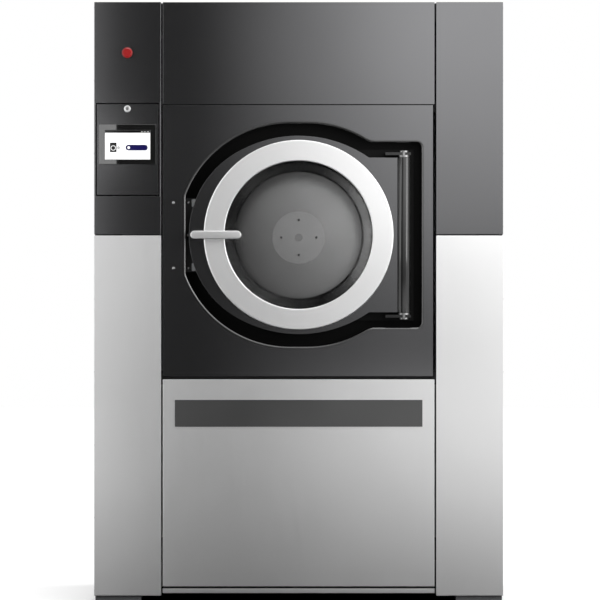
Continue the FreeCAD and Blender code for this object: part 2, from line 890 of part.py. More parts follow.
def recess_prism(inset, front, back):
    """The recess outline, drawn in by an inset, as a solid from front to back."""
    radius = S.recess_radius - inset
    left = -S.recess_left + inset
    right = S.recess_right - inset
    tab_half = S.recess_tab_half - inset
    depth = back - front
    discs = [rod((x, front, AXIS), "Y", depth, radius) for x in (-S.recess_spread, S.recess_spread)]
    middle = block((-S.recess_spread, front, AXIS - radius), (S.recess_spread, back, AXIS + radius))
    tab = block((0, front, AXIS - tab_half), (right, back, AXIS + tab_half))
    limits = block((left, front, AXIS - radius), (right, back, AXIS + radius))
    neck = S.recess_spread + root(radius * radius - tab_half * tab_half)

    def corner_radius(edge):
        first, last = (vertex.Point for vertex in (edge.Vertexes[0], edge.Vertexes[-1]))
        straight = abs(last.x - first.x) < 0.01 and abs(last.z - first.z) < 0.01
        if not straight or abs(abs(last.y - first.y) - depth.value) > 0.01:
            return None
        if abs(first.x - right.value) < 1:
            return (S.recess_corner_radius - inset).value
        if abs(first.x - neck.value) < 1:
            return (S.recess_neck_radius + inset).value
        if abs(first.x - left.value) < 1:
            return (S.recess_left_radius - inset).value
        return None

    return round_edges(common(fuse(*discs, middle, tab), limits), corner_radius)


def door_panel():
    panel = tray(-CENTRE_SIDE, COLUMN_INNER - S.door_panel_right_gap, DOOR_PANEL_BOTTOM,
                 DOOR_PANEL_TOP, CENTRE_FACE, CENTRE_DEPTH)
    opening = recess_prism(as_size(0), CENTRE_FACE - S.cut_over, CENTRE_FACE + S.flange_depth)
    return cut(panel, opening)


def recess_liner():
    front = CENTRE_FACE - S.liner_proud
    back = CENTRE_FACE + S.liner_depth
    lip_back = front + S.liner_lip_depth
    outer = recess_prism(S.liner_clearance, front, back)
    lip_hole = recess_prism(S.liner_clearance + S.liner_lip_width, front - S.cut_over, lip_back + S.cut_over)
    hollow = recess_prism(S.liner_clearance + S.liner_wall, lip_back, back - S.liner_wall)
    hole_radius = S.mouth_radius + S.collar_wall + S.liner_hole_clearance
    hole = rod((0, lip_back, AXIS), "Y", S.flange_depth + S.liner_depth, hole_radius)
    dish = cut(outer, lip_hole, hollow, hole)

    def lip_radius(edge):
        box = edge.BoundBox
        at_front = abs(box.YMin - front.value) < 0.01 and abs(box.YMax - front.value) < 0.01
        if not at_front:
            return None
        middle = edge.valueAt((edge.FirstParameter + edge.LastParameter) / 2)
        inside = lip_hole.Shape.distToShape(Part.Vertex(middle))[0] < 0.01
        return S.liner_lip_radius.value if inside else None

    return round_edges(dish, lip_radius)


name_part("door_panel", door_panel())
name_part("recess_liner", recess_liner())


# Door

def fascia_prism(inset, back, length):
    """A round left end between an upper and a lower arc, which run out to a wide tab at the hinge."""
    body = doc.addObject("PartDesign::Body", "Body")
    sketch = new_sketch(body, "XZ_Plane")
    curve = S.fascia_curve
    half = S.fascia_tab_half - inset
    sunk = curve - S.fascia_rise
    end_curve = (curve * curve - S.fascia_left * S.fascia_left - sunk * sunk) / (2 * (curve - S.fascia_left))
    end_centre = end_curve - S.fascia_left
    radius = curve - inset
    end_radius = end_curve - inset
    touch = math.degrees(math.atan2(sunk.value, end_centre.value))
    corner = math.degrees(math.asin((half + sunk).value / radius.value))
    upper = add_arc(sketch, (0, -sunk), radius, corner, touch)
    lower = add_arc(sketch, (0, sunk), radius, -touch, -corner)
    end = add_free_arc(sketch, (end_centre, 0), end_radius, touch, 360 - touch)
    sketch.addConstraint(Sketcher.Constraint("Tangent", upper, 2, end, 1))
    sketch.addConstraint(Sketcher.Constraint("Tangent", end, 2, lower, 1))
    far_corners = [FreeCAD.Vector(S.hinge_offset.value, z.value, 0) for z in (-half, half)]
    route = [arc_ends(sketch, lower)[1], *far_corners, arc_ends(sketch, upper)[0]]
    lines = [add_line(sketch, start, stop) for start, stop in zip(route, route[1:])]
    edges = [lower, *lines, upper]
    for first, second in zip(edges, edges[1:]):
        sketch.addConstraint(Sketcher.Constraint("Coincident", first, 2, second, 1))
    for line in (lines[0], lines[2]):
        sketch.addConstraint(Sketcher.Constraint("Horizontal", line))
    fix_point(sketch, lines[1], 1, S.hinge_offset, -half)
    fix_point(sketch, lines[1], 2, S.hinge_offset, half)
    padded(body, sketch, length)
    set_place(body, 0, back, AXIS)
    return body


def door_fascia():
    shell = fascia_prism(as_size(0), FASCIA_BACK, S.fascia_thickness)
    hollow = fascia_prism(S.fascia_wall, FASCIA_BACK + S.cut_over,
                          S.fascia_thickness - S.fascia_wall + S.cut_over)
    window = rod((0, FRONT - S.cut_over, AXIS), "Y", S.fascia_thickness, S.ring_inner_radius)
    hinge_z = AXIS - S.recess_tab_half
    hinge = rod((S.hinge_offset, HINGE_Y, hinge_z), "Z", 2 * S.recess_tab_half,
                S.hinge_tube_radius + S.seat_clearance)
    spindle_x = -S.handle_spindle_offset
    bush_start = (spindle_x, FRONT, AXIS)
    bush = rod(bush_start, "Y", S.fascia_thickness, S.bush_radius)
    bore_start = (spindle_x, FRONT - S.cut_over, AXIS)
    bore = rod(bore_start, "Y", S.fascia_thickness + 2 * S.cut_over, S.spindle_radius + S.running_clearance)
    return cut(fuse(cut(shell, hollow), bush), window, hinge, bore)


def door_ring():
    edge = S.ring_edge
    return revolved_y([
        (S.ring_inner_radius, FRONT),
        (S.ring_inner_radius, RING_FRONT + edge),
        (S.ring_inner_radius + edge, RING_FRONT),
        (S.ring_outer_radius - edge, RING_FRONT),
        (S.ring_outer_radius, RING_FRONT + edge),
        (S.ring_outer_radius, FRONT),
    ], AXIS)


def door_glass():
    wall = S.glass_wall
    return revolved_y([
        (0, GLASS_BACK),
        (S.glass_bottom_radius, GLASS_BACK),
        (GLASS_MOUTH, GLASS_FRONT),
        (GLASS_OUTER, GLASS_FRONT),
        (GLASS_OUTER, GLASS_FLANGE_BACK),
        (GLASS_MOUTH + wall, GLASS_FLANGE_BACK),
        (S.glass_bottom_radius + wall, GLASS_BACK + wall),
        (0, GLASS_BACK + wall),
    ], AXIS)


def door_back_ring():
    """The ring that closes the fascia's back, with the collar that clamps the glass."""
    inner = GLASS_OUTER - S.clamp_width
    plate_front = FASCIA_BACK - S.back_ring_thickness
    return revolved_y([
        (inner, GLASS_FLANGE_BACK),
        (GLASS_OUTER, GLASS_FLANGE_BACK),
        (GLASS_OUTER, plate_front),
        (S.back_ring_outer_radius, plate_front),
        (S.back_ring_outer_radius, FASCIA_BACK),
        (inner, FASCIA_BACK),
    ], AXIS)


def hinge_tube():
    start = (S.hinge_offset, HINGE_Y, AXIS - TUBE_END)
    bore_start = (S.hinge_offset, HINGE_Y, AXIS - TUBE_END - S.cut_over)
    bore_length = 2 * TUBE_END + 2 * S.cut_over
    barrel = rod(start, "Z", 2 * TUBE_END, S.hinge_tube_radius)
    bore = rod(bore_start, "Z", bore_length, S.hinge_pin_radius + S.running_clearance)
    return cut(barrel, bore)


def hinge_levels(sign):
    """Heights of the washer's two faces, and of the bracket's and head's outer faces."""
    washer = TUBE_END + S.seat_clearance
    bracket = washer + S.hinge_washer_height
    head = bracket + S.hinge_bracket_height
    end = head + S.hinge_head_height
    return [AXIS + sign * level for level in (washer, bracket, head, end)]


def hinge_pins():
    pins = []
    for sign in (-1, 1):
        washer, bracket, head, end = hinge_levels(sign)
        inner_end = AXIS + sign * (TUBE_END - S.hinge_pin_reach)
        pins.append(revolved([
            (0, inner_end),
            (S.hinge_pin_radius, inner_end),
            (S.hinge_pin_radius, washer),
            (S.hinge_washer_radius, washer),
            (S.hinge_washer_radius, bracket),
            (S.hinge_pin_radius, bracket),
            (S.hinge_pin_radius, head),
            (S.hinge_head_radius, head),
            (S.hinge_head_radius, end),
            (0, end),
        ], S.hinge_offset, HINGE_Y, 0, "XZ_Plane"))
    return pins


def hinge_brackets():
    brackets = []
    right = S.hinge_offset + S.hinge_tube_radius
    for sign in (-1, 1):
        washer, bracket, head, end = hinge_levels(sign)
        z_low, z_high = (bracket, head) if sign > 0 else (head, bracket)
        plate = block((right - S.hinge_bracket_width, HINGE_Y - S.hinge_washer_radius, z_low),
                      (right, MOUTH_FRONT, z_high))
        hole = rod((S.hinge_offset, HINGE_Y, z_low - S.cut_over), "Z",
                   S.hinge_bracket_height + 2 * S.cut_over, S.hinge_pin_radius + S.running_clearance)
        brackets.append(cut(plate, hole))
    return group(*brackets, *hinge_pins())


def door_handle():
    half = S.handle_height / 2
    left = -S.handle_spindle_offset
    right = left + S.handle_length - S.handle_height
    front = HANDLE_BACK - S.handle_thickness
    bar = block((left, front, AXIS - half), (right, HANDLE_BACK, AXIS + half))
    ends = [rod((x, front, AXIS), "Y", S.handle_thickness, half) for x in (left, right)]
    neck = rod((left, HANDLE_BACK, AXIS), "Y", FRONT - S.seat_clearance - HANDLE_BACK, S.bush_radius)
    return fuse(bar, *ends, neck)


def latch_bolt():
    """The handle's spindle, with the flat bolt across its inner end."""
    x = -S.handle_spindle_offset
    back = FASCIA_BACK + S.bolt_thickness + S.bolt_gap
    start_y = FRONT - S.seat_clearance
    spindle = rod((x, start_y, AXIS), "Y", back - start_y, S.spindle_radius)
    half = S.bolt_height / 2
    tongue = block((x - S.bolt_length, back - S.bolt_thickness, AXIS - half), (x, back, AXIS + half))
    return fuse(spindle, tongue)


def lock_plate():
    left = -S.lock_plate_left
    front = MOUTH_FRONT - S.lock_plate_thickness
    plate = block((left, front, AXIS - S.lock_plate_half),
                  (left + S.lock_plate_width, MOUTH_FRONT, AXIS + S.lock_plate_half))
    pocket = rod((-S.handle_spindle_offset, front - S.cut_over, AXIS), "Y",
                 S.lock_plate_thickness + 2 * S.cut_over, S.bolt_pocket_radius)
    return cut(plate, pocket)


name_part("door_fascia", door_fascia())
name_part("door_ring", door_ring())
name_part("door_glass", door_glass())
name_part("door_back_ring", door_back_ring())
name_part("hinge_tube", hinge_tube())
name_part("hinge_brackets", hinge_brackets())
name_part("door_handle", door_handle())
name_part("latch_bolt", latch_bolt())
name_part("lock_plate", lock_plate())


# Tub

def mouth_plate():
    disc = rod((0, MOUTH_FRONT, AXIS), "Y", S.mouth_plate_thickness, S.mouth_plate_radius)
    hinge_tab = block((0, MOUTH_FRONT, AXIS - S.mouth_tab_half),
                      (S.hinge_offset + S.mouth_tab_reach, MOUTH_BACK, AXIS + S.mouth_tab_half))
    lock_tab = block((-S.lock_plate_left, MOUTH_FRONT, AXIS - S.lock_plate_half),
                     (0, MOUTH_BACK, AXIS + S.lock_plate_half))
    hole = rod((0, MOUTH_FRONT - S.cut_over, AXIS), "Y", S.mouth_plate_thickness + 2 * S.cut_over,
               S.mouth_radius)
    return cut(fuse(disc, hinge_tab, lock_tab), hole)


def tub_shell():
    """The outer tub: its mouth collar, front wall and cylinder."""
    collar = S.mouth_radius + S.collar_wall
    inner = S.tub_outer_radius - S.tub_wall
    return revolved_y([
        (S.mouth_radius, MOUTH_BACK),
        (collar, MOUTH_BACK),
        (collar, TUB_FRONT - S.tub_plate),
        (S.tub_outer_radius, TUB_FRONT - S.tub_plate),
        (S.tub_outer_radius, TUB_BACK),
        (inner, TUB_BACK),
        (inner, TUB_FRONT),
        (S.mouth_radius, TUB_FRONT),
    ], AXIS)


def bearing_housing():
    bore = S.bearing_outer_radius + S.running_clearance
    flange_back = HOUSING_START + S.housing_flange
    housing = revolved_y([
        (bore, HOUSING_START),
        (S.housing_flange_radius, HOUSING_START),
        (S.housing_flange_radius, flange_back),
        (S.housing_radius, flange_back),
        (S.housing_radius, HOUSING_END),
        (bore, HOUSING_END),
    ], AXIS)
    bolts = bolt_ring(SIZES["housing_bolt_count"], S.housing_bolt_circle, S.housing_bolt_radius,
                      flange_back, S.housing_bolt_height)
    return group(housing, *bolts)


def bearings():
    front = HOUSING_START + S.bearing_inset
    rear = HOUSING_END - S.bearing_inset - S.bearing_width
    return group(*[ring(SHAFT_BORE, S.bearing_outer_radius, y, y + S.bearing_width, AXIS)
                   for y in (front, rear)])


def bolt_ring(count, circle, radius, y, height):
    """Hexagon heads on a circle round the drum axis."""
    heads = []
    for index in range(count):
        across, up = around(circle, 360 * index / count)
        heads.append(hexagon((across, y, AXIS + up), "Y", height, radius))
    return heads


name_part("mouth_plate", mouth_plate())
name_part("door_seal", ring(S.mouth_radius, S.mouth_radius + S.seal_width, FASCIA_BACK + S.seat_clearance,
                            MOUTH_FRONT, AXIS))
name_part("tub_shell", tub_shell())
name_part("tub_back", ring(S.shaft_radius + S.tub_back_hole_clearance, S.tub_outer_radius, TUB_BACK,
                           HOUSING_START, AXIS))
name_part("bearing_housing", bearing_housing())
name_part("bearings", bearings())


# Drum

def drum_shell():
    inner = S.drum_radius - S.drum_wall
    lip_front = DRUM_FRONT - S.drum_lip_depth
    return revolved_y([
        (S.drum_mouth_radius, lip_front),
        (S.drum_mouth_radius + S.drum_wall, lip_front),
        (S.drum_mouth_radius + S.drum_wall, DRUM_FRONT),
        (S.drum_radius, DRUM_FRONT),
        (S.drum_radius, SPIDER_START),
        (0, SPIDER_START),
        (0, DRUM_BACK),
        (inner, DRUM_BACK),
        (inner, DRUM_FRONT + S.drum_wall),
        (S.drum_mouth_radius, DRUM_FRONT + S.drum_wall),
    ], AXIS)


def drum_lifters():
    inner = S.drum_radius - S.drum_wall
    half = S.lifter_width / 2
    base = root(inner * inner - half * half) - S.seat_clearance
    tip = inner - S.lifter_height
    wall = S.lifter_wall
    length = DRUM_BACK - DRUM_FRONT - 2 * S.lifter_end_gap
    back = DRUM_BACK - S.lifter_end_gap
    count = SIZES["lifter_count"]

    def rib(half_base, half_tip, outer_z, inner_z, back_y, rib_length, angle):
        points = [(-half_base, outer_z), (half_base, outer_z), (half_tip, inner_z), (-half_tip, inner_z)]
        body = doc.addObject("PartDesign::Body", "Body")
        padded(body, polygon_sketch(body, "XZ_Plane", points), rib_length)
        body.Placement.Rotation = FreeCAD.Rotation(DIRECTIONS["Y"], angle)
        set_place(body, 0, back_y, AXIS)
        return body

    lifters = []
    for index in range(count):
        angle = SIZES["lifter_start"] + 360 * index / count
        shell = rib(half, S.lifter_tip / 2, base, tip, back, length, angle)
        hollow = rib(half - 2 * wall, S.lifter_tip / 2 - wall, base + wall, tip + wall, back - wall,
                     length - 2 * wall, angle)
        lifters.append(cut(shell, hollow))
    return group(*lifters)


def hub_plate():
    """The plate in the middle of the drum's back wall, with its bolt heads."""
    front = DRUM_BACK - S.hub_plate_thickness
    plate = ring(S.hub_hole_radius, S.hub_plate_radius, front, DRUM_BACK, AXIS)
    bolts = bolt_ring(SIZES["hub_bolt_count"], S.hub_bolt_circle, S.hub_bolt_radius,
                      front - S.hub_bolt_height, S.hub_bolt_height)
    return group(plate, *bolts)


def drum_spider():
    """The three-armed casting behind the drum, and the shaft that it is fixed to."""
    hub = rod((0, SPIDER_START, AXIS), "Y", S.spider_thickness, S.spider_hub_radius)
    count = SIZES["spider_arm_count"]
    arms = []
    for index in range(count):
        half = S.spider_arm_width / 2
        arm = block((-half, 0, 0), (half, S.spider_thickness, S.spider_reach))
        arm.Placement.Rotation = FreeCAD.Rotation(DIRECTIONS["Y"], 360 * index / count)
        across, along = around(-half, -360 * index / count)
        set_place(arm, across, SPIDER_START, AXIS + along)
        arms.append(arm)
    shaft = rod((0, SHAFT_START, AXIS), "Y", S.shaft_length, S.shaft_radius)
    return group(fuse(hub, *arms), shaft)


name_part("drum_shell", drum_shell())
name_part("drum_lifters", drum_lifters())
name_part("hub_plate", hub_plate())
name_part("drum_spider", drum_spider())


# Drive

def grooved_rim(radius):
    """Rim points from front to back, with V grooves for the belts."""
    count = SIZES["groove_count"]
    points = [(radius, PULLEY_PLANE - S.pulley_rim_width / 2)]
    for index in range(count):
        middle = PULLEY_PLANE + (index - (count - 1) / 2) * S.groove_pitch
        bottom = radius - S.groove_depth
        points.append((radius, middle - S.groove_width / 2))
        points.append((bottom, middle - S.groove_bottom / 2))
        points.append((bottom, middle + S.groove_bottom / 2))
        points.append((radius, middle + S.groove_width / 2))
    points.append((radius, PULLEY_PLANE + S.pulley_rim_width / 2))
    return points


def drum_pulley():
    hub_front = PULLEY_PLANE - S.pulley_hub_length / 2
    hub_back = PULLEY_PLANE + S.pulley_hub_length / 2
    web_front = PULLEY_PLANE - S.pulley_web / 2
    web_back = PULLEY_PLANE + S.pulley_web / 2
    rim_inner = S.drum_pulley_radius - S.pulley_rim
    rim_front = PULLEY_PLANE - S.pulley_rim_width / 2
    rim_back = PULLEY_PLANE + S.pulley_rim_width / 2
    return revolved_y([
        (SHAFT_BORE, hub_front),
        (S.pulley_hub_radius, hub_front),
        (S.pulley_hub_radius, web_front),
        (rim_inner, web_front),
        (rim_inner, rim_front),
        *grooved_rim(S.drum_pulley_radius),
        (rim_inner, rim_back),
        (rim_inner, web_back),
        (S.pulley_hub_radius, web_back),
        (S.pulley_hub_radius, hub_back),
        (SHAFT_BORE, hub_back),
    ], AXIS)


def motor_pulley():
    bore = S.motor_shaft_radius + S.running_clearance
    pulley = revolved_y([
        (bore, PULLEY_PLANE - S.pulley_rim_width / 2),
        *grooved_rim(S.motor_pulley_radius),
        (bore, PULLEY_PLANE + S.pulley_rim_width / 2),
    ], MOTOR_AXIS)
    shaft_start = MOTOR_END - S.motor_bore_depth + S.cut_over
    shaft_end = PULLEY_PLANE + S.pulley_hub_length / 2
    shaft = rod((0, shaft_start, MOTOR_AXIS), "Y", shaft_end - shaft_start, S.motor_shaft_radius)
    return group(pulley, shaft)


def belt_prism(growth, front, width):
    """The closed path round both pulleys, grown from the pulley radii, as a solid."""
    body = doc.addObject("PartDesign::Body", "Body")
    sketch = new_sketch(body, "XZ_Plane")
    large = S.drum_pulley_radius + growth
    small = S.motor_pulley_radius + growth
    spread = AXIS - MOTOR_AXIS
    lean = math.degrees(math.asin((large.value - small.value) / spread.value))
    top = add_arc(sketch, (0, AXIS), large, -lean, 180 + lean)
    bottom = add_arc(sketch, (0, MOTOR_AXIS), small, 180 + lean, 360 - lean)
    top_start, top_end = arc_ends(sketch, top)
    bottom_start, bottom_end = arc_ends(sketch, bottom)
    left = add_line(sketch, top_end, bottom_start)
    right = add_line(sketch, bottom_end, top_start)
    for first, second in ((top, left), (left, bottom), (bottom, right), (right, top)):
        sketch.addConstraint(Sketcher.Constraint("Tangent", first, 2, second, 1))
    padded(body, sketch, width)
    set_place(body, 0, front + width, 0)
    return body


def drive_belts():
    count = SIZES["groove_count"]
    belts = []
    for index in range(count):
        front = PULLEY_PLANE + (index - (count - 1) / 2) * S.groove_pitch - S.belt_width / 2
        outside = belt_prism(S.belt_proud, front, S.belt_width)
        inside = belt_prism(S.belt_proud - S.belt_thickness, front - S.cut_over,
                            S.belt_width + 2 * S.cut_over)
        belts.append(cut(outside, inside))
    return group(*belts)


def motor():
    half = S.motor_block_width / 2
    barrel = rod((0, MOTOR_FRONT, MOTOR_AXIS), "Y", S.motor_length, S.motor_radius)
    rear_bar_back = SPRING_REAR + S.cradle_bar_width / 2
    foot = block((-half, MOTOR_BAR - S.cradle_bar_width / 2, MOTOR_AXIS + half),
                 (half, rear_bar_back, CRADLE_BOTTOM))
    bore = rod((0, MOTOR_END - S.motor_bore_depth, MOTOR_AXIS), "Y",
               S.motor_bore_depth + S.cut_over, S.motor_shaft_radius + S.running_clearance)
    return cut(fuse(barrel, foot), bore)


name_part("drum_pulley", drum_pulley())
name_part("motor_pulley", motor_pulley())
name_part("drive_belts", drive_belts())
name_part("motor", motor())


# Cradle and suspension

def cradle():
    rail_front = SPRING_FRONT - S.cradle_overhang
    rail_back = SPRING_REAR + S.cradle_overhang
    half = S.cradle_bar_width / 2
    pieces = []
    for side in (-1, 1):
        pieces.append(side_tube(side, S.spring_offset - half, S.spring_offset + half, rail_front, rail_back,
                                CRADLE_BOTTOM, CRADLE_TOP, "Y", S.beam_wall))
    bar_end = S.spring_offset - half
    for middle in (SPRING_FRONT, MOTOR_BAR, SPRING_REAR):
        pieces.append(tube((-bar_end, middle - half, CRADLE_BOTTOM), (bar_end, middle + half, CRADLE_TOP),
                           "X", S.beam_wall))
    saddle_side = S.spring_offset + half
    for middle in (FRONT + S.saddle_front_inset, REAR - S.saddle_rear_inset):
        front = middle - S.saddle_thickness / 2
        plate = block((-saddle_side, front, CRADLE_TOP),
                      (saddle_side, front + S.saddle_thickness, CRADLE_TOP + S.saddle_height))
        bed = rod((0, front - S.cut_over, AXIS), "Y", S.saddle_thickness + 2 * S.cut_over,
                  S.tub_outer_radius + S.seat_clearance)
        pieces.append(cut(plate, bed))
    for x, y in SPRING_PLACES:
        pieces.append(rod((x, y, SPRING_TOP), "Z", S.spring_plate, S.spring_plate_radius))
    return group(*pieces)


def pipe_bracket():
    half = S.pipe_bracket_width / 2
    top = DRAIN_HEIGHT - S.drain_radius - S.seat_clearance
    return block((-S.drain_offset - half, SPRING_REAR - S.saddle_thickness / 2, BASE_TOP),
                 (-S.drain_offset + half, SPRING_REAR + S.saddle_thickness / 2, top))


def pedestals():
    """What stands on the base: a post under each air spring, and the drain pipe's bracket."""
    half = S.pedestal_size / 2
    posts = []
    for x, y in SPRING_PLACES:
        column = tube((x - half, y - half, BASE_TOP), (x + half, y + half, PEDESTAL_TOP), "Z", S.beam_wall)
        plate = block((x - half, y - half, PEDESTAL_TOP), (x + half, y + half, SPRING_BOTTOM))
        posts.append(fuse(column, plate))
    return group(*posts, pipe_bracket())


def bellows(x, y, bottom, top, waist, radius, count, wall):
    """A closed-wall bellows standing upright, with rounded-off lobes."""
    pitch = (top - bottom) / count
    outside = [(waist, bottom)]
    for index in range(count):
        low = bottom + pitch * index
        outside.append((radius, low + pitch / 3))
        outside.append((radius, low + pitch * 2 / 3))
        outside.append((waist, low + pitch))
    inside = [(across - wall, up) for across, up in reversed(outside)]
    return revolved(outside + inside, x, y, 0, "XZ_Plane")


def air_springs():
    return group(*[bellows(x, y, SPRING_BOTTOM, SPRING_TOP, S.bellows_waist, S.bellows_radius,
                           SIZES["bellows_lobes"], S.bellows_wall) for x, y in SPRING_PLACES])


def damper_bodies():
    bodies = []
    for x, y in DAMPER_PLACES:
        barrel = rod((x, y, BASE_TOP), "Z", SPRING_BOTTOM - BASE_TOP, S.damper_radius)
        bore = rod((x, y, DAMPER_BORE_BOTTOM), "Z", SPRING_BOTTOM - BASE_TOP,
                   S.damper_rod_radius + S.running_clearance)
        bodies.append(cut(barrel, bore))
    return group(*bodies)


def damper_rods():
    bottom = (DAMPER_BORE_BOTTOM + SPRING_BOTTOM) / 2
    return group(*[rod((x, y, bottom), "Z", CRADLE_BOTTOM - bottom, S.damper_rod_radius)
                   for x, y in DAMPER_PLACES])


name_part("cradle", cradle())
name_part("pedestals", pedestals())
name_part("air_springs", air_springs())
name_part("damper_bodies", damper_bodies())
name_part("damper_rods", damper_rods())


# Water

def upright_pipe(x, y, bottom, top, radius, wall):
    outer = rod((x, y, bottom), "Z", top - bottom, radius)
    bore = rod((x, y, bottom - S.cut_over), "Z", top - bottom + 2 * S.cut_over, radius - wall)
    return cut(outer, bore)


def tub_neighbour():
    """The space that the tub takes up, with room for its curved side."""
    return rod((0, TUB_FRONT, AXIS), "Y", TUB_BACK - TUB_FRONT, S.tub_outer_radius + S.seat_clearance)


def drain_sump():
    pipe = upright_pipe(-S.drain_offset, DRAIN_Y, SUMP_BOTTOM, AXIS, S.sump_radius, S.drain_wall)
    return cut(pipe, tub_neighbour())


def drain_valve():
    half = S.drain_valve_size / 2
    return block((-S.drain_offset - half, DRAIN_Y - half, DRAIN_VALVE_BOTTOM),
                 (-S.drain_offset + half, DRAIN_Y + half, DRAIN_VALVE_TOP))


def drain_pipe():
    start = DRAIN_Y + S.drain_valve_size / 2
    place = (-S.drain_offset, start, DRAIN_HEIGHT)
    bore_place = (-S.drain_offset, start - S.cut_over, DRAIN_HEIGHT)
    outer = rod(place, "Y", REAR_END - start, S.drain_radius)
    bore = rod(bore_place, "Y", REAR_END - start + 2 * S.cut_over, S.drain_radius - S.drain_wall)
    spigot_radius = S.drain_radius + S.drain_spigot_step
    spigot = rod((-S.drain_offset, REAR, DRAIN_HEIGHT), "Y", S.rear_reach, spigot_radius)
    return cut(fuse(outer, spigot), bore)


def inlet_valves():
    valves = []
    for x in inlet_places():
        valve_front = FRAME_REAR - S.inlet_valve_length
        body = rod((x, valve_front, INLET_HEIGHT), "Y", REAR - valve_front, S.inlet_valve_radius)
        stub = rod((x, REAR, INLET_HEIGHT), "Y", S.rear_reach, S.inlet_radius)
        bore = rod((x, REAR, INLET_HEIGHT), "Y", S.rear_reach + S.cut_over, S.inlet_bore)
        valves.append(cut(fuse(body, stub), bore))
    return group(*valves, inlet_manifold())


def inlet_manifold():
    back = INLET_Y + S.manifold_depth / 2
    half = S.manifold_size / 2
    box = block((-S.inlet_offset - half, INLET_Y - S.manifold_depth / 2, HOSE_TOP),
                (-S.inlet_offset + half, back, HOSE_TOP + S.manifold_height))
    length = FRAME_REAR - S.inlet_valve_length - back
    pipes = [rod((x, back, INLET_HEIGHT), "Y", length, S.inlet_radius) for x in inlet_places()]
    return fuse(box, *pipes)


def inlet_spout():
    pipe = upright_pipe(-S.inlet_offset, INLET_Y, AXIS, HOSE_BOTTOM, S.spout_radius, S.hose_wall)
    return cut(pipe, tub_neighbour())


name_part("tub_pipes", group(drain_sump(), inlet_spout()))
name_part("drain_bellows", bellows(-S.drain_offset, DRAIN_Y, DRAIN_VALVE_TOP, SUMP_BOTTOM,
                                   S.sump_radius - S.drain_wall, S.sump_radius, SIZES["hose_rib_count"],
                                   S.hose_wall))
name_part("drain_valve", drain_valve())
name_part("drain_pipe", drain_pipe())
name_part("inlet_valves", inlet_valves())
name_part("inlet_hose", bellows(-S.inlet_offset, INLET_Y, HOSE_BOTTOM, HOSE_TOP, S.hose_waist,
                                S.hose_radius, SIZES["hose_rib_count"], S.hose_wall))


# Controls

def stop_base():
    bore = S.stop_stem_radius + S.running_clearance
    collar_front = FRONT - S.stop_collar_height
    return revolved([
        (bore, collar_front),
        (S.stop_collar_radius, collar_front),
        (S.stop_collar_radius, FRONT),
        (S.stop_barrel_radius, FRONT),
        (S.stop_barrel_radius, FRONT + S.stop_barrel_length),
        (bore, FRONT + S.stop_barrel_length),
    ], CONTROL_MIDDLE, 0, STOP_HEIGHT)


def stop_button():
    head_back = FRONT - S.stop_collar_height - S.stop_travel_gap
    head_front = head_back - S.stop_head_height
    edge = S.stop_head_height / 3
    stem_end = FRONT + S.stop_barrel_length
    return revolved([
        (0, head_front),
        (S.stop_head_radius - edge, head_front),
        (S.stop_head_radius, head_front + edge),
        (S.stop_head_radius, head_back - edge / 2),
        (S.stop_head_radius - edge / 2, head_back),
        (S.stop_stem_radius, head_back),
        (S.stop_stem_radius, stem_end),
        (0, stem_end),
    ], CONTROL_MIDDLE, 0, STOP_HEIGHT)


def control_cover():
    """A tray that is open at its bottom edge, so that it can swing past its hinge."""
    left = CONTROL_LEFT
    right = CONTROL_RIGHT
    outer = block((left, FRONT, CONTROL_BOTTOM), (right, FRONT + S.control_depth, CONTROL_TOP))
    hollow = block((left + S.sheet, FRONT + S.sheet, CONTROL_BOTTOM - S.cut_over),
                   (right - S.sheet, FRONT + S.control_depth + S.cut_over, CONTROL_TOP - S.sheet))
    gap = S.bezel_inset - S.seat_clearance
    window = block((BEZEL_LEFT + gap, FRONT - S.cut_over, BEZEL_BOTTOM + gap),
                   (BEZEL_RIGHT - gap, FRONT + S.cut_over, BEZEL_TOP - gap))
    key_hole = rod((CONTROL_MIDDLE, FRONT - S.cut_over, KEY_HEIGHT), "Y", 2 * S.cut_over,
                   S.key_plug_radius + S.running_clearance)
    pin_hole = rod((left - S.cut_over, CONTROL_HINGE_Y, CONTROL_HINGE_Z), "X",
                   right - left + 2 * S.cut_over, S.control_pin_radius + S.running_clearance)
    return cut(outer, hollow, window, key_hole, pin_hole)


def display_bezel():
    face = FRONT - S.bezel_thickness
    plate = block((BEZEL_LEFT, face, BEZEL_BOTTOM), (BEZEL_RIGHT, FRONT, BEZEL_TOP))
    inset = S.bezel_inset
    body = block((BEZEL_LEFT + inset, FRONT, BEZEL_BOTTOM + inset),
                 (BEZEL_RIGHT - inset, FRONT + S.bezel_body_depth, BEZEL_TOP - inset))
    pocket = block((SCREEN_LEFT, face - S.cut_over, SCREEN_BOTTOM),
                   (SCREEN_RIGHT, face + S.screen_recess + S.screen_thickness, SCREEN_TOP))
    return cut(fuse(plate, body), pocket)


def touch_screen():
    face = FRONT - S.bezel_thickness + S.screen_recess
    gap = S.seat_clearance
    return block((SCREEN_LEFT + gap, face, SCREEN_BOTTOM + gap),
                 (SCREEN_RIGHT - gap, face + S.screen_thickness, SCREEN_TOP - gap))


def key_plug():
    front = FRONT - S.key_proud
    end = FRONT + S.key_length
    half = S.key_cam_width / 2
    plug = rod((CONTROL_MIDDLE, front, KEY_HEIGHT), "Y", end - front, S.key_plug_radius)
    cam = block((CONTROL_MIDDLE - half, end - S.key_cam_thickness, KEY_HEIGHT),
                (CONTROL_MIDDLE + half, end, KEY_HEIGHT + S.key_cam_length))
    slot = block((CONTROL_MIDDLE - S.key_slot / 2, front - S.cut_over, KEY_HEIGHT - half),
                 (CONTROL_MIDDLE + S.key_slot / 2, front + S.sheet, KEY_HEIGHT + half))
    return cut(fuse(plug, cam), slot)


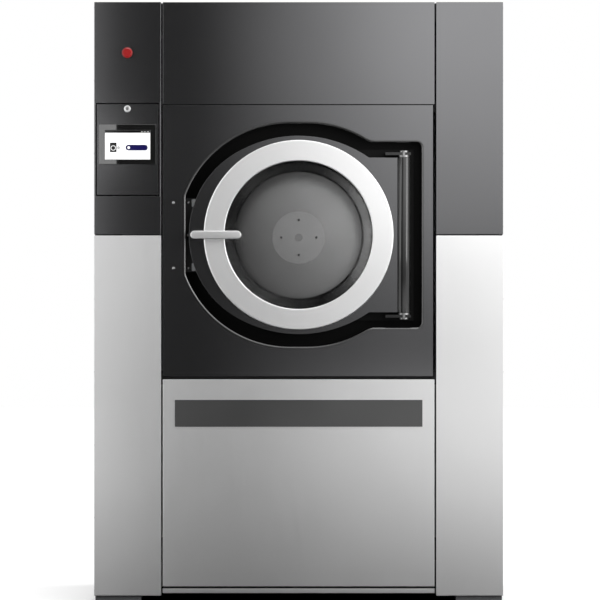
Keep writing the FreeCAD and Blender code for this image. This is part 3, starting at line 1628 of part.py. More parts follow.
def control_box():
    top = FRAME_TOP - S.post_size + S.control_box_lap
    box_front = FRONT + S.control_box_inset
    return block((-POST_INNER, box_front, top - S.control_box_height),
                 (-POST_INNER + S.control_box_width, box_front + S.control_box_depth,
                   top))


def main_switch_base():
    half = S.switch_size / 2
    box = block((SWITCH_X - half, REAR, SWITCH_HEIGHT - half),
                (SWITCH_X + half, REAR + S.switch_depth, SWITCH_HEIGHT + half))
    bore = rod((SWITCH_X, REAR + S.cut_over, SWITCH_HEIGHT), "Y", S.switch_depth,
               S.switch_stem_radius + S.running_clearance)
    return cut(box, bore)


def main_switch_knob():
    face = REAR + S.switch_depth + S.seat_clearance
    disc_end = face + S.switch_knob_height / 2
    half = S.switch_stem_radius
    stem_start = REAR + S.cut_over + S.seat_clearance
    stem = rod((SWITCH_X, stem_start, SWITCH_HEIGHT), "Y", face - stem_start, S.switch_stem_radius)
    disc = rod((SWITCH_X, face, SWITCH_HEIGHT), "Y", disc_end - face, S.switch_knob_radius)
    grip = block((SWITCH_X - half, disc_end, SWITCH_HEIGHT - S.switch_knob_radius),
                 (SWITCH_X + half, face + S.switch_knob_height, SWITCH_HEIGHT + S.switch_knob_radius))
    return fuse(stem, disc, grip)


def cable_gland():
    front = FRAME_REAR - S.gland_length / 3
    return revolved([
        (S.gland_bore, front),
        (S.gland_radius, front),
        (S.gland_radius, front + S.gland_length),
        (S.gland_bore, front + S.gland_length),
    ], SWITCH_X, 0, GLAND_HEIGHT)


name_part("stop_base", stop_base())
name_part("stop_button", stop_button())
name_part("control_cover", control_cover())
name_part("display_bezel", display_bezel())
name_part("touch_screen", touch_screen())
name_part("key_plug", key_plug())
name_part("control_box", control_box())
name_part("main_switch_base", main_switch_base())
name_part("main_switch_knob", main_switch_knob())
name_part("cable_gland", cable_gland())


# Check every object, then write one file for each sub-part

doc.recompute()
for item in doc.Objects:
    if "Invalid" in item.State or "Error" in item.State:
        raise RuntimeError(f"{item.Label} could not be built: {item.State}")
for item in sub_parts:
    if item.Shape.isNull() or not item.Shape.isValid():
        raise RuntimeError(f"{item.Label} has no valid shape")

os.makedirs("parts", exist_ok=True)
for item in sub_parts:
    item.Shape.exportStep(f"parts/{item.Label}.step")
print(len(sub_parts), "sub-parts written")
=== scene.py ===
import math

import bmesh
import bpy
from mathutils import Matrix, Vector


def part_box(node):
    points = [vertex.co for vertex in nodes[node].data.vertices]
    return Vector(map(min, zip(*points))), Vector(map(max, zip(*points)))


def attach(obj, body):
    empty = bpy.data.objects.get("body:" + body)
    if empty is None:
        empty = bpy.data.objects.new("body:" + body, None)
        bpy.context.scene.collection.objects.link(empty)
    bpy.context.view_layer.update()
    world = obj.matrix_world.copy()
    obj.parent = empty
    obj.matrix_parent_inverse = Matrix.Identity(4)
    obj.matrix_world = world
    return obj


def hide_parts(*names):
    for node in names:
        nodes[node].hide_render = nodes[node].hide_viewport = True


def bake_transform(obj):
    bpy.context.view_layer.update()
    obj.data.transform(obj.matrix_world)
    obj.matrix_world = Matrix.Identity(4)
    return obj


# A soft-mounted washer-extractor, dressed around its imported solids, in metres.
# +X is the viewer's right, the front faces -Y, +Z is up.

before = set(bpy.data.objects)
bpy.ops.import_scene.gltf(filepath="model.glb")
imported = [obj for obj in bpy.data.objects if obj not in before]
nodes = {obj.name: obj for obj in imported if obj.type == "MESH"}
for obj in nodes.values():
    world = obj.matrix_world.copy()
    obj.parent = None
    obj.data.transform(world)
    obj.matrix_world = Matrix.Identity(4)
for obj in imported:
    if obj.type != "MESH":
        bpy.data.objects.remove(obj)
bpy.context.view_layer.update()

# Depth of the cabinet's face, height of the door's and drum's axis, and the upright axis of the door's hinge
FRONT = -0.7
DOOR_CENTRE = 1.328
HINGE_X = 0.381
HINGE_Y = -0.69


# Shader helpers

# Nearly all values of the noise lie between these two.
NOISE_LOW = 0.3
NOISE_HIGH = 0.7

# Frequency of the slow colour variation along X, Y and Z
SLOW = (1.5, 1.5, 1.5)


def grey(level):
    return (level, level, level)


def new_material(name):
    material = bpy.data.materials.new(name)
    material.use_nodes = True
    tree = material.node_tree
    return material, tree, tree.nodes["Principled BSDF"]


def set_input(material, socket, value):
    material.node_tree.nodes["Principled BSDF"].inputs[socket].default_value = value


def surface_place(tree):
    """The point that is being coloured, in its piece's own frame."""
    return tree.nodes.new("ShaderNodeTexCoord").outputs["Object"]


def coordinate(tree, axis):
    """The X, Y or Z of the point that is being coloured."""
    parts = tree.nodes.new("ShaderNodeSeparateXYZ")
    tree.links.new(surface_place(tree), parts.inputs["Vector"])
    return parts.outputs[axis]


def grain(tree, scale, detail=3.0):
    """Noise with its own frequency along X, Y and Z, in cycles a metre."""
    mapping = tree.nodes.new("ShaderNodeMapping")
    noise = tree.nodes.new("ShaderNodeTexNoise")
    mapping.inputs["Scale"].default_value = scale
    noise.inputs["Scale"].default_value = 1.0
    noise.inputs["Detail"].default_value = detail
    tree.links.new(surface_place(tree), mapping.inputs["Vector"])
    tree.links.new(mapping.outputs["Vector"], noise.inputs["Vector"])
    return noise.outputs["Fac"]


def ramp(tree, value, start, end, low=0.0, high=1.0):
    """Numbers that go from low to high while the value goes from start to end."""
    node = tree.nodes.new("ShaderNodeMapRange")
    node.inputs["From Min"].default_value = start
    node.inputs["From Max"].default_value = end
    node.inputs["To Min"].default_value = low
    node.inputs["To Max"].default_value = high
    tree.links.new(value, node.inputs["Value"])
    return node.outputs["Result"]


def product(tree, first, second):
    node = tree.nodes.new("ShaderNodeMath")
    node.operation = "MULTIPLY"
    tree.links.new(first, node.inputs[0])
    tree.links.new(second, node.inputs[1])
    return node.outputs["Value"]


def spread(tree, noise, low, high):
    """Turn noise into numbers between low and high."""
    return ramp(tree, noise, NOISE_LOW, NOISE_HIGH, low, high)


def tint(tree, noise, dark, light):
    """Turn noise into colours between dark and light."""
    colours = tree.nodes.new("ShaderNodeValToRGB")
    low, high = colours.color_ramp.elements
    low.position = NOISE_LOW
    low.color = (*dark, 1)
    high.position = NOISE_HIGH
    high.color = (*light, 1)
    tree.links.new(noise, colours.inputs["Fac"])
    return colours.outputs["Color"]


def relief(tree, shader, noise, depth):
    """Raise the surface by noise, by about depth metres."""
    bump = tree.nodes.new("ShaderNodeBump")
    bump.inputs["Strength"].default_value = 1.0
    bump.inputs["Distance"].default_value = depth
    tree.links.new(noise, bump.inputs["Height"])
    tree.links.new(bump.outputs["Normal"], shader.inputs["Normal"])


def finish(name, dark, light, rough, scale, depth, metal=0.0, coat=0.0):
    """A surface whose fine grain sets its gloss and relief, with slow colour variation across it.

    The grain has the given scale and depth, and rough is the range of the roughness.
    """
    material, tree, shader = new_material(name)
    fine = grain(tree, scale)
    slow = grain(tree, SLOW, detail=2.0)
    tree.links.new(tint(tree, slow, dark, light), shader.inputs["Base Color"])
    tree.links.new(spread(tree, fine, *rough), shader.inputs["Roughness"])
    relief(tree, shader, fine, depth)
    shader.inputs["Metallic"].default_value = metal
    shader.inputs["Coat Weight"].default_value = coat
    return material


def lit(name, dark, light, strength):
    """A part of the lit display: its colour shines by itself, with the faint mesh of its dots."""
    material = finish(name, dark, light, rough=(0.12, 0.16), scale=DOTS, depth=0.000002)
    shader = material.node_tree.nodes["Principled BSDF"]
    colour = shader.inputs["Base Color"].links[0].from_socket
    material.node_tree.links.new(colour, shader.inputs["Emission Color"])
    shader.inputs["Emission Strength"].default_value = strength
    return material


def overlay(material, mask, colour, rough, metal=False):
    """Where the mask is 1, give the surface a second colour and gloss, and make it metal if asked."""
    tree = material.node_tree
    shader = tree.nodes["Principled BSDF"]
    paint = tree.nodes.new("ShaderNodeMix")
    paint.data_type = "RGBA"
    paint.inputs["B"].default_value = (*colour, 1)
    gloss = tree.nodes.new("ShaderNodeMix")
    gloss.inputs["B"].default_value = rough
    for node, socket in ((paint, "Base Color"), (gloss, "Roughness")):
        tree.links.new(shader.inputs[socket].links[0].from_socket, node.inputs["A"])
        tree.links.new(mask, node.inputs["Factor"])
        tree.links.new(node.outputs["Result"], shader.inputs[socket])
    if metal:
        tree.links.new(mask, shader.inputs["Metallic"])


def near_hinge(tree, radius, blur=0.0002):
    """1 within the radius of the hinge's axis, 0 outside it."""
    flat = tree.nodes.new("ShaderNodeVectorMath")
    flat.operation = "MULTIPLY"
    flat.inputs[1].default_value = (1, 1, 0)
    tree.links.new(surface_place(tree), flat.inputs[0])
    away = tree.nodes.new("ShaderNodeVectorMath")
    away.operation = "DISTANCE"
    away.inputs[1].default_value = (HINGE_X, HINGE_Y, 0)
    tree.links.new(flat.outputs["Vector"], away.inputs[0])
    return ramp(tree, away.outputs["Value"], radius + blur, radius - blur)


def before_depth(tree, y, blur=0.0005):
    """1 in front of the given depth, 0 behind it."""
    return ramp(tree, coordinate(tree, "Y"), y + blur, y - blur)


def outside_radius(tree, start, end):
    """0 near the door's axis, and 1 from the end radius outwards."""
    upright = tree.nodes.new("ShaderNodeMapping")
    upright.inputs["Location"].default_value = (0, 0, -DOOR_CENTRE)
    upright.inputs["Scale"].default_value = (1, 0, 1)
    away = tree.nodes.new("ShaderNodeVectorMath")
    away.operation = "LENGTH"
    tree.links.new(surface_place(tree), upright.inputs["Vector"])
    tree.links.new(upright.outputs["Vector"], away.inputs[0])
    return ramp(tree, away.outputs["Value"], start, end)


# Materials

# Frequencies of the grain along X, Y and Z
FINE = (900, 900, 900)
COARSE = (300, 300, 300)
CLOUDY = (60, 60, 60)
SMEARED = (9, 9, 9)
DOTS = (2500, 2500, 2500)
ACROSS = (6, 1200, 1200)
UPRIGHT = (1200, 1200, 6)
DRAWN = (900, 900, 8)

graphite = finish("graphite_paint", (0.145, 0.145, 0.149), (0.161, 0.161, 0.165), rough=(0.20, 0.25),
                  scale=FINE, depth=0.00002, metal=0.95)
stainless = finish("brushed_stainless", grey(0.79), grey(0.85), rough=(0.42, 0.50),
                   scale=UPRIGHT, depth=0.00004, metal=1.0)
side_steel = finish("side_sheet", grey(0.44), grey(0.50), rough=(0.58, 0.66),
                    scale=UPRIGHT, depth=0.00004, metal=1.0)
strip_steel = finish("dark_brushed_strip", grey(0.068), grey(0.108), rough=(0.38, 0.5),
                     scale=ACROSS, depth=0.00003, metal=0.6)
ring_steel = finish("satin_ring", grey(0.89), grey(0.95), rough=(0.40, 0.48),
                    scale=FINE, depth=0.00001, metal=1.0)
drum_steel = finish("drum_steel", grey(0.50), grey(0.56), rough=(0.10, 0.13),
                    scale=FINE, depth=0.000003, metal=1.0)
hub_steel = finish("hub_steel", grey(0.80), grey(0.86), rough=(0.22, 0.28),
                   scale=FINE, depth=0.000003, metal=1.0)
galvanised = finish("galvanised_sheet", (0.42, 0.43, 0.44), (0.55, 0.56, 0.57), rough=(0.35, 0.5),
                    scale=CLOUDY, depth=0.00002, metal=0.9)
roof_sheet = finish("roof_sheet", grey(0.26), grey(0.32), rough=(0.7, 0.8),
                    scale=CLOUDY, depth=0.00002, metal=0.5)
lever_metal = finish("lever_metal", grey(0.72), grey(0.78), rough=(0.40, 0.46),
                     scale=ACROSS, depth=0.00001, metal=0.95)
bright_steel = finish("machined_steel", grey(0.62), grey(0.7), rough=(0.2, 0.28),
                      scale=FINE, depth=0.00001, metal=1.0)
brass = finish("brass", (0.60, 0.42, 0.18), (0.68, 0.5, 0.22), rough=(0.25, 0.35),
               scale=FINE, depth=0.00002, metal=1.0)
frame_paint = finish("frame_paint", (0.05, 0.05, 0.053), (0.07, 0.07, 0.073), rough=(0.5, 0.6),
                     scale=FINE, depth=0.00005)
motor_paint = finish("motor_paint", (0.10, 0.12, 0.15), (0.13, 0.15, 0.18), rough=(0.45, 0.55),
                     scale=FINE, depth=0.00005)
casting = finish("painted_casting", (0.09, 0.09, 0.1), (0.13, 0.13, 0.14), rough=(0.55, 0.7),
                 scale=COARSE, depth=0.0002)
hinge_paint = finish("hinge_paint", grey(0.010), grey(0.014), rough=(0.10, 0.15),
                     scale=DRAWN, depth=0.000004, coat=0.3)
black_plastic = finish("black_plastic", grey(0.012), grey(0.018), rough=(0.4, 0.5),
                       scale=FINE, depth=0.00003)
red_plastic = finish("red_plastic", (0.32, 0.005, 0.006), (0.38, 0.007, 0.008), rough=(0.28, 0.34),
                     scale=FINE, depth=0.00001)
pipe_plastic = finish("pipe_plastic", grey(0.24), grey(0.30), rough=(0.45, 0.55),
                      scale=FINE, depth=0.00003)
enclosure = finish("enclosure", grey(0.5), grey(0.56), rough=(0.45, 0.55),
                   scale=FINE, depth=0.00003)
rubber = finish("rubber", grey(0.015), grey(0.024), rough=(0.65, 0.8),
                scale=FINE, depth=0.00008)
# Painted shade: near-black with little gloss for the mouth plate, a steel plate that sits in shade deep in
# the recess.
painted_shade_enamel = finish("painted_shade_enamel", grey(0.003), grey(0.005), rough=(0.5, 0.6),
                      scale=FINE, depth=0.00002)
set_input(painted_shade_enamel, "Specular IOR Level", 0.15)
bezel_gloss = finish("display_bezel", grey(0.010), grey(0.014), rough=(0.02, 0.04),
                     scale=FINE, depth=0.0000005, coat=1.0)
set_input(bezel_gloss, "IOR", 1.9)

screen_white = lit("screen_white", grey(0.80), grey(0.84), strength=0.6)
screen_ink = lit("screen_ink", grey(0.004), grey(0.006), strength=0.0)
screen_grey = lit("screen_grey", grey(0.40), grey(0.44), strength=0.5)
screen_blue = lit("screen_blue", (0.010, 0.008, 0.09), (0.014, 0.010, 0.10), strength=0.0)


def clear_glass():
    """Thick clear glass with faint smears, and a rim tinted grey as painted shade, made paler on the right by
    a painted reflection.
    """
    rim_start = 0.229
    rim_end = 0.233
    rim_rough = 0.01
    painted_reflection_start = 0.08
    painted_reflection_end = 0.24
    material, tree, shader = new_material("door_glass")
    smears = grain(tree, SMEARED, detail=4.0)
    tree.links.new(spread(tree, smears, 0.005, 0.02), shader.inputs["Roughness"])
    tree.links.new(tint(tree, smears, grey(0.84), grey(0.90)), shader.inputs["Base Color"])
    shader.inputs["Transmission Weight"].default_value = 1.0
    shader.inputs["IOR"].default_value = 1.5
    # Painted shade: the rim of the glass is tinted grey for the dark flank of the bowl.
    rim = outside_radius(tree, rim_start, rim_end)
    overlay(material, rim, grey(0.28), rim_rough)
    # Painted reflection: the rim's grey is paler towards +X, for the bright side that the glass reflects.
    painted_reflection_side = product(tree, rim, ramp(tree, coordinate(tree, "X"), painted_reflection_start, painted_reflection_end))
    overlay(material, painted_reflection_side, grey(0.75), rim_rough)
    return material


def hinge_finish():
    """Black brackets with bare metal on the pins and their washers."""
    pin_reach = 0.0214
    material = finish("hinge_metal", grey(0.010), grey(0.014), rough=(0.18, 0.26),
                      scale=FINE, depth=0.000005)
    overlay(material, near_hinge(material.node_tree, pin_reach), grey(0.28), rough=0.40, metal=True)
    return material


def liner_finish():
    """Dull black plastic, darkened further as painted shade, with a bright line along the lip at the front of
    the recess.
    """
    lip_depth = 0.012
    # Painted shade: the black is darker and duller than the black plastic elsewhere, for the shade deep in
    # the recess.
    material = finish("recess_plastic_and_shade", grey(0.002), grey(0.003), rough=(0.45, 0.55),
                      scale=FINE, depth=0.00001)
    set_input(material, "Specular IOR Level", 0.1)
    lip = before_depth(material.node_tree, FRONT + lip_depth)
    overlay(material, lip, grey(0.15), rough=0.26, metal=True)
    return material


glass = clear_glass()
hinge_metal = hinge_finish()
liner_plastic_and_shade = liner_finish()


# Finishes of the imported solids

def dress(material, *names):
    for name in names:
        slots = nodes[name].data.materials
        slots.clear()
        slots.append(material)


def soften(*names, width):
    """Round the sharp edges of solids, so that they catch the light."""
    for name in names:
        weld = nodes[name].modifiers.new("weld", "WELD")
        weld.merge_threshold = 0.00001
        edge = nodes[name].modifiers.new("edge", "BEVEL")
        edge.width = width
        edge.segments = 2
        edge.limit_method = "ANGLE"
        edge.angle_limit = math.radians(40)
        edge.harden_normals = True


dress(graphite, "left_upper_cover", "right_upper_cover", "upper_centre_panel", "door_panel", "door_fascia",
      "control_cover")
dress(stainless, "lower_column_covers", "lower_panel", "sill_strip", "door_back_ring", "tub_shell",
      "tub_back", "tub_pipes")
dress(side_steel, "side_panels")
dress(strip_steel, "accent_strip")
dress(ring_steel, "door_ring")
dress(drum_steel, "drum_shell", "drum_lifters")
dress(hub_steel, "hub_plate")
dress(galvanised, "rear_panel", "drive_cover")
dress(roof_sheet, "roof")
dress(frame_paint, "base_frame", "side_frames", "cross_rails", "cradle", "pedestals")
# The mouth plate carries painted shade, not its own colour.
dress(painted_shade_enamel, "mouth_plate")
dress(liner_plastic_and_shade, "recess_liner")
dress(black_plastic, "lock_plate", "stop_base", "drain_valve", "main_switch_base", "cable_gland")
dress(bezel_gloss, "display_bezel")
dress(red_plastic, "stop_button", "main_switch_knob")
dress(rubber, "door_seal", "drive_belts", "air_springs", "drain_bellows", "inlet_hose")
dress(hinge_paint, "hinge_tube")
dress(lever_metal, "door_handle", "latch_bolt")
dress(hinge_metal, "hinge_brackets")
dress(bright_steel, "bearings", "motor_pulley", "damper_rods", "key_plug")
dress(casting, "bearing_housing", "drum_spider", "drum_pulley", "damper_bodies")
dress(motor_paint, "motor")
dress(brass, "inlet_valves")
dress(pipe_plastic, "drain_pipe")
dress(enclosure, "control_box")
dress(screen_white, "touch_screen")
dress(glass, "door_glass")

soften("left_upper_cover", "right_upper_cover", "upper_centre_panel", "lower_panel", "lower_column_covers",
       "door_panel", "door_fascia", width=0.002)
soften("control_cover", "door_ring", "stop_button", "main_switch_knob", width=0.0015)
soften("display_bezel", "stop_base", "sill_strip", "main_switch_base", "hinge_tube", width=0.001)


# Mesh helpers

FORWARD = (0, -1, 0)
BACKWARD = (0, 1, 0)
UP = (0, 0, 1)

# Flat pieces of a round corner
CORNER_STEPS = 8


def add_piece(name, points, faces, material, body=None, crease=35):
    """A mesh piece, smooth across edges flatter than the crease angle, that may ride on a body."""
    mesh = bpy.data.meshes.new(name)
    mesh.from_pydata([tuple(point) for point in points], [], faces)
    shape = bmesh.new()
    shape.from_mesh(mesh)
    bmesh.ops.recalc_face_normals(shape, faces=shape.faces)
    shape.to_mesh(mesh)
    shape.free()
    mesh.materials.append(material)
    mesh.shade_smooth()
    mesh.set_sharp_from_angle(angle=math.radians(crease))
    piece = bpy.data.objects.new(name, mesh)
    bpy.context.scene.collection.objects.link(piece)
    if body:
        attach(piece, body)
    return piece


def join(*parts):
    """Several lists of points and faces as one."""
    points = []
    faces = []
    for part_points, part_faces in parts:
        first = len(points)
        points.extend(part_points)
        faces.extend([tuple(first + corner for corner in face) for face in part_faces])
    return points, faces


def box_middle(low, high):
    return [(near + far) / 2 for near, far in zip(low, high)]


def lathe(profile, centre, axis, steps):
    """A closed profile of (radius, distance along the axis) turned round an axis through the centre."""
    axis = Vector(axis)
    across = axis.orthogonal().normalized()
    up = axis.cross(across)
    centre = Vector(centre)
    points = []
    for step in range(steps):
        angle = 2 * math.pi * step / steps
        out = across * math.cos(angle) + up * math.sin(angle)
        points.extend(centre + axis * along + out * radius for radius, along in profile)
    count = len(profile)
    faces = []
    for step in range(steps):
        here = step * count
        there = (step + 1) % steps * count
        for index in range(count):
            after = (index + 1) % count
            faces.append((here + index, here + after, there + after, there + index))
    return points, faces


def turned(profile, centre, axis, steps):
    """A solid turned from a profile that starts and ends on the axis."""
    axis = Vector(axis)
    points, faces = lathe(profile[1:-1], centre, axis, steps)
    count = len(profile) - 2
    faces = [face for index, face in enumerate(faces) if index % count != count - 1]
    points.append(Vector(centre) + axis * profile[0][1])
    points.append(Vector(centre) + axis * profile[-1][1])
    start = len(points) - 2
    for step in range(steps):
        here = step * count
        there = (step + 1) % steps * count
        faces.append((start, here, there))
        faces.append((start + 1, there + count - 1, here + count - 1))
    return points, faces


def rounded_plate(left, right, bottom, top, radius, front, depth, edge=0.0004):
    """An upright plate with round corners and a softened front edge, facing -Y."""
    def outline(inset):
        points = []
        corners = ((right, top, 0), (left, top, 90), (left, bottom, 180), (right, bottom, 270))
        for x, z, start in corners:
            middle_x = x + (radius if x == left else -radius)
            middle_z = z + (radius if z == bottom else -radius)
            for step in range(CORNER_STEPS + 1):
                angle = math.radians(start + 90 * step / CORNER_STEPS)
                reach = radius - inset
                points.append((middle_x + reach * math.cos(angle), middle_z + reach * math.sin(angle)))
        return points

    count = 4 * (CORNER_STEPS + 1)
    points = []
    for inset, y in ((edge, front), (0.0, front + edge), (0.0, front + depth)):
        points.extend((x, y, z) for x, z in outline(inset))
    faces = [tuple(range(count)), tuple(reversed(range(2 * count, 3 * count)))]
    for level in range(2):
        for index in range(count):
            after = (index + 1) % count
            low = level * count
            high = low + count
            faces.append((low + after, low + index, high + index, high + after))
    return points, faces


# Rubber pieces

BELLOWS_BEAD = 0.006
SPRING_RADIUS = 0.088
SPRING_WAIST = 0.066
SPRING_LOBES = 3
SPRING_WALL = 0.006
HOSE_RIBS = 6
HOSE_WALL = 0.004
GASKET_INNER = 0.285

# The gasket's section, as (distance across, height) in millimetres: its inner lip, which the outer one
# mirrors, and the valley between them.
GASKET_WIDTH = 40.0
GASKET_LIP = [(1.5, 0.0), (0.5, 5.0), (1.5, 9.5), (4.5, 12.8), (8.5, 13.7), (12.5, 12.4), (15.5, 10.4)]
GASKET_VALLEY = (20.0, 9.6)

BELT_OFFSETS = (-0.016, 0.0, 0.016)
BELT_SPACING = 0.003
COG_DEPTH = 0.008
NOTCH_DEPTH = 0.0055
# A belt's section, as (height above the pulley's rim, half width), and the half width of its root
BELT_BACK = (0.001, 0.0052)
BELT_SHOULDER = (-0.001, 0.005)
BELT_ROOT_HALF = 0.0038


def smooth_bellows(x, y, bottom, top, waist, radius, lobes, wall):
    """A bellows whose wall swells and narrows in round waves, with a flat bead at each end."""
    steps = 16 * lobes
    outside = [(waist + wall, bottom), (waist + wall, bottom + BELLOWS_BEAD)]
    for step in range(steps + 1):
        share = step / steps
        swell = 0.5 - 0.5 * math.cos(2 * math.pi * lobes * share)
        along = bottom + BELLOWS_BEAD + (top - bottom - 2 * BELLOWS_BEAD) * share
        outside.append((waist + (radius - waist) * swell ** 0.7, along))
    outside.extend([(waist + wall, top - BELLOWS_BEAD), (waist + wall, top)])
    inside = [(across - wall, along) for across, along in reversed(outside)]
    return lathe(outside + inside, (x, y, 0), UP, 64)


def across_suspension(piece, node):
    """The piece reaches from the cabinet to the tub; bake its placement into its mesh and hide the imported
    node that it replaces.
    """
    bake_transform(piece)
    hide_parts(node)


def air_spring_bellows():
    low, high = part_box("air_springs")
    across = (low[0] + SPRING_RADIUS, high[0] - SPRING_RADIUS)
    along = (low[1] + SPRING_RADIUS, high[1] - SPRING_RADIUS)
    parts = []
    for x in across:
        for y in along:
            parts.append(smooth_bellows(x, y, low[2], high[2], SPRING_WAIST, SPRING_RADIUS, SPRING_LOBES,
                                        SPRING_WALL))
    return add_piece("air_spring_bellows", *join(*parts), rubber)


def hose(name, node, waist_share):
    low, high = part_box(node)
    x, y, _ = box_middle(low, high)
    radius = (high[0] - low[0]) / 2
    shape = smooth_bellows(x, y, low[2], high[2], radius * waist_share, radius, HOSE_RIBS, HOSE_WALL)
    return add_piece(name, *shape, rubber)


def door_gasket():
    """A rubber ring with two round lips that press on the back of the door."""
    low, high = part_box("door_seal")
    middle = box_middle(low, high)
    far_lip = [(GASKET_WIDTH - across, proud) for across, proud in reversed(GASKET_LIP)]
    lips = GASKET_LIP + [GASKET_VALLEY] + far_lip
    profile = [(GASKET_INNER + across / 1000, proud / 1000) for across, proud in lips]
    piece = add_piece("door_gasket", *lathe(profile, (middle[0], high[1], middle[2]), FORWARD, 128),
                      rubber, "tub_unit", crease=60)
    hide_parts("door_seal")


def belt_path():
    """Points round both pulleys and the direction outwards at each, evenly spaced."""
    drum_low, drum_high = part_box("drum_pulley")
    motor_low, motor_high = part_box("motor_pulley")
    large = (drum_high[0] - drum_low[0]) / 2
    small = (motor_high[0] - motor_low[0]) / 2
    top = (drum_low[2] + drum_high[2]) / 2
    bottom = (motor_low[2] + motor_high[2]) / 2
    lean = math.asin((large - small) / (top - bottom))
    run = (top - bottom) * math.cos(lean)
    path = []

    def arc(centre, radius, start, end):
        steps = round(abs(end - start) * radius / BELT_SPACING)
        for step in range(steps):
            angle = start + (end - start) * step / steps
            out = Vector((math.cos(angle), 0, math.sin(angle)))
            path.append((Vector((0, 0, centre)) + out * radius, out))

    def straight(centre, radius, angle):
        steps = round(run / BELT_SPACING)
        out = Vector((math.cos(angle), 0, math.sin(angle)))
        along = Vector((-math.sin(angle), 0, math.cos(angle)))
        for step in range(steps):
            path.append((Vector((0, 0, centre)) + out * radius + along * (run * step / steps), out))

    arc(top, large, -lean, math.pi + lean)
    straight(top, large, math.pi + lean)
    arc(bottom, small, math.pi + lean, 2 * math.pi - lean)
    straight(bottom, small, -lean)
    return path


def cogged_belts():
    """Three V belts with notches across their inner faces."""
    low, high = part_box("drive_belts")
    plane = (low[1] + high[1]) / 2
    path = belt_path()
    parts = []
    for offset in BELT_OFFSETS:
        points = []
        for index, (place, out) in enumerate(path):
            depth = COG_DEPTH if index % 4 < 2 else NOTCH_DEPTH
            for reach, half in (BELT_BACK, BELT_SHOULDER, (-depth, BELT_ROOT_HALF)):
                middle = place + out * reach
                points.append((middle.x, plane + offset - half, middle.z))
                points.append((middle.x, plane + offset + half, middle.z))
        ring = (0, 2, 4, 5, 3, 1)
        faces = []
        for index in range(len(path)):
            here = 6 * index
            there = 6 * ((index + 1) % len(path))
            for start, end in zip(ring, ring[1:] + ring[:1]):
                faces.append((here + start, here + end, there + end, there + start))
        parts.append((points, faces))
    piece = add_piece("cogged_belts", *join(*parts), rubber, "tub_unit")
    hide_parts("drive_belts")


across_suspension(air_spring_bellows(), "air_springs")
across_suspension(hose("drain_hose", "drain_bellows", waist_share=0.9), "drain_bellows")
across_suspension(hose("inlet_hose_ribbed", "inlet_hose", waist_share=0.82), "inlet_hose")
door_gasket()
cogged_belts()


# Drum

DRUM_SHEET = 0.003
DRUM_MOUTH = 0.24
DRUM_LIP = 0.014
DRUM_BACK = 0.006
HOLES_AROUND = 84
HOLE_ROWS = 24
HOLE_RADIUS = 0.0038
HOLE_SIDES = 8


def perforated_wall(inner, outer, start, end):
    """A round wall along Y with a hole in each cell, where every second row is half a cell further round."""
    height = (end - start) / HOLE_ROWS
    half_steps = 2 * HOLES_AROUND
    points = []

    def add(radius, half_step, y):
        angle = math.pi * half_step / HOLES_AROUND
        points.append((radius * math.cos(angle), y, DOOR_CENTRE + radius * math.sin(angle)))
        return len(points) - 1

    def hole_rim(radius, centre, middle):
        rim = []
        for turn in range(HOLE_SIDES):
            angle = 2 * math.pi / HOLE_SIDES * turn
            across = HOLE_RADIUS * math.cos(angle) / radius * HOLES_AROUND / math.pi
            rim.append(add(radius, centre + across, middle + HOLE_RADIUS * math.sin(angle)))
        return rim

    def face_of_wall(radius):
        levels = [start + height * row for row in range(HOLE_ROWS + 1)]
        lines = [[add(radius, step, level) for step in range(half_steps)] for level in levels]
        cells = []
        for row in range(HOLE_ROWS):
            first = row % 2
            middle = start + height * (row + 0.5)
            sides = [add(radius, first + 2 * cell, middle) for cell in range(HOLES_AROUND)]
            low, high = lines[row], lines[row + 1]
            for cell in range(HOLES_AROUND):
                centre = first + 2 * cell + 1
                before, here, after = (step % half_steps for step in (centre - 1, centre, centre + 1))
                border = [sides[(cell + 1) % HOLES_AROUND], high[after], high[here], high[before],
                          sides[cell], low[before], low[here], low[after]]
                cells.append((border, hole_rim(radius, centre, middle)))
        return lines, cells

    faces = []
    inner_lines, inner_cells = face_of_wall(inner)
    outer_lines, outer_cells = face_of_wall(outer)
    for turn in range(HOLE_SIDES):
        after = (turn + 1) % HOLE_SIDES
        for border, rim in inner_cells + outer_cells:
            faces.append((border[turn], border[after], rim[after], rim[turn]))
        for (_, near), (_, far) in zip(inner_cells, outer_cells):
            faces.append((near[turn], near[after], far[after], far[turn]))
    for near, far in ((inner_lines[0], outer_lines[0]), (inner_lines[-1], outer_lines[-1])):
        for step in range(half_steps):
            after = (step + 1) % half_steps
            faces.append((near[step], near[after], far[after], far[step]))
    return points, faces


def perforated_drum():
    """The drum with its holes: a rolled front lip, the pierced wall and the back."""
    low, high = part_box("drum_shell")
    outer = (high[0] - low[0]) / 2
    front = low[1] + DRUM_LIP
    wall_start = front + DRUM_SHEET
    back = high[1] - DRUM_BACK
    bead = DRUM_SHEET / 2
    lip_outer = DRUM_MOUTH + DRUM_SHEET
    lip = [(lip_outer, front), (lip_outer, low[1] + bead), (DRUM_MOUTH + bead, low[1]),
           (DRUM_MOUTH, low[1] + bead), (DRUM_MOUTH, wall_start), (outer, wall_start), (outer, front)]
    plate = [(0, back), (outer, back), (outer, high[1]), (0, high[1])]
    centre = (0, 0, DOOR_CENTRE)
    parts = [lathe(lip, centre, BACKWARD, 160),
             perforated_wall(outer - DRUM_SHEET, outer, wall_start, back),
             turned(plate, centre, BACKWARD, 160)]
    piece = add_piece("perforated_drum", *join(*parts), drum_steel, "drum")
    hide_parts("drum_shell")


perforated_drum()


# Small fittings

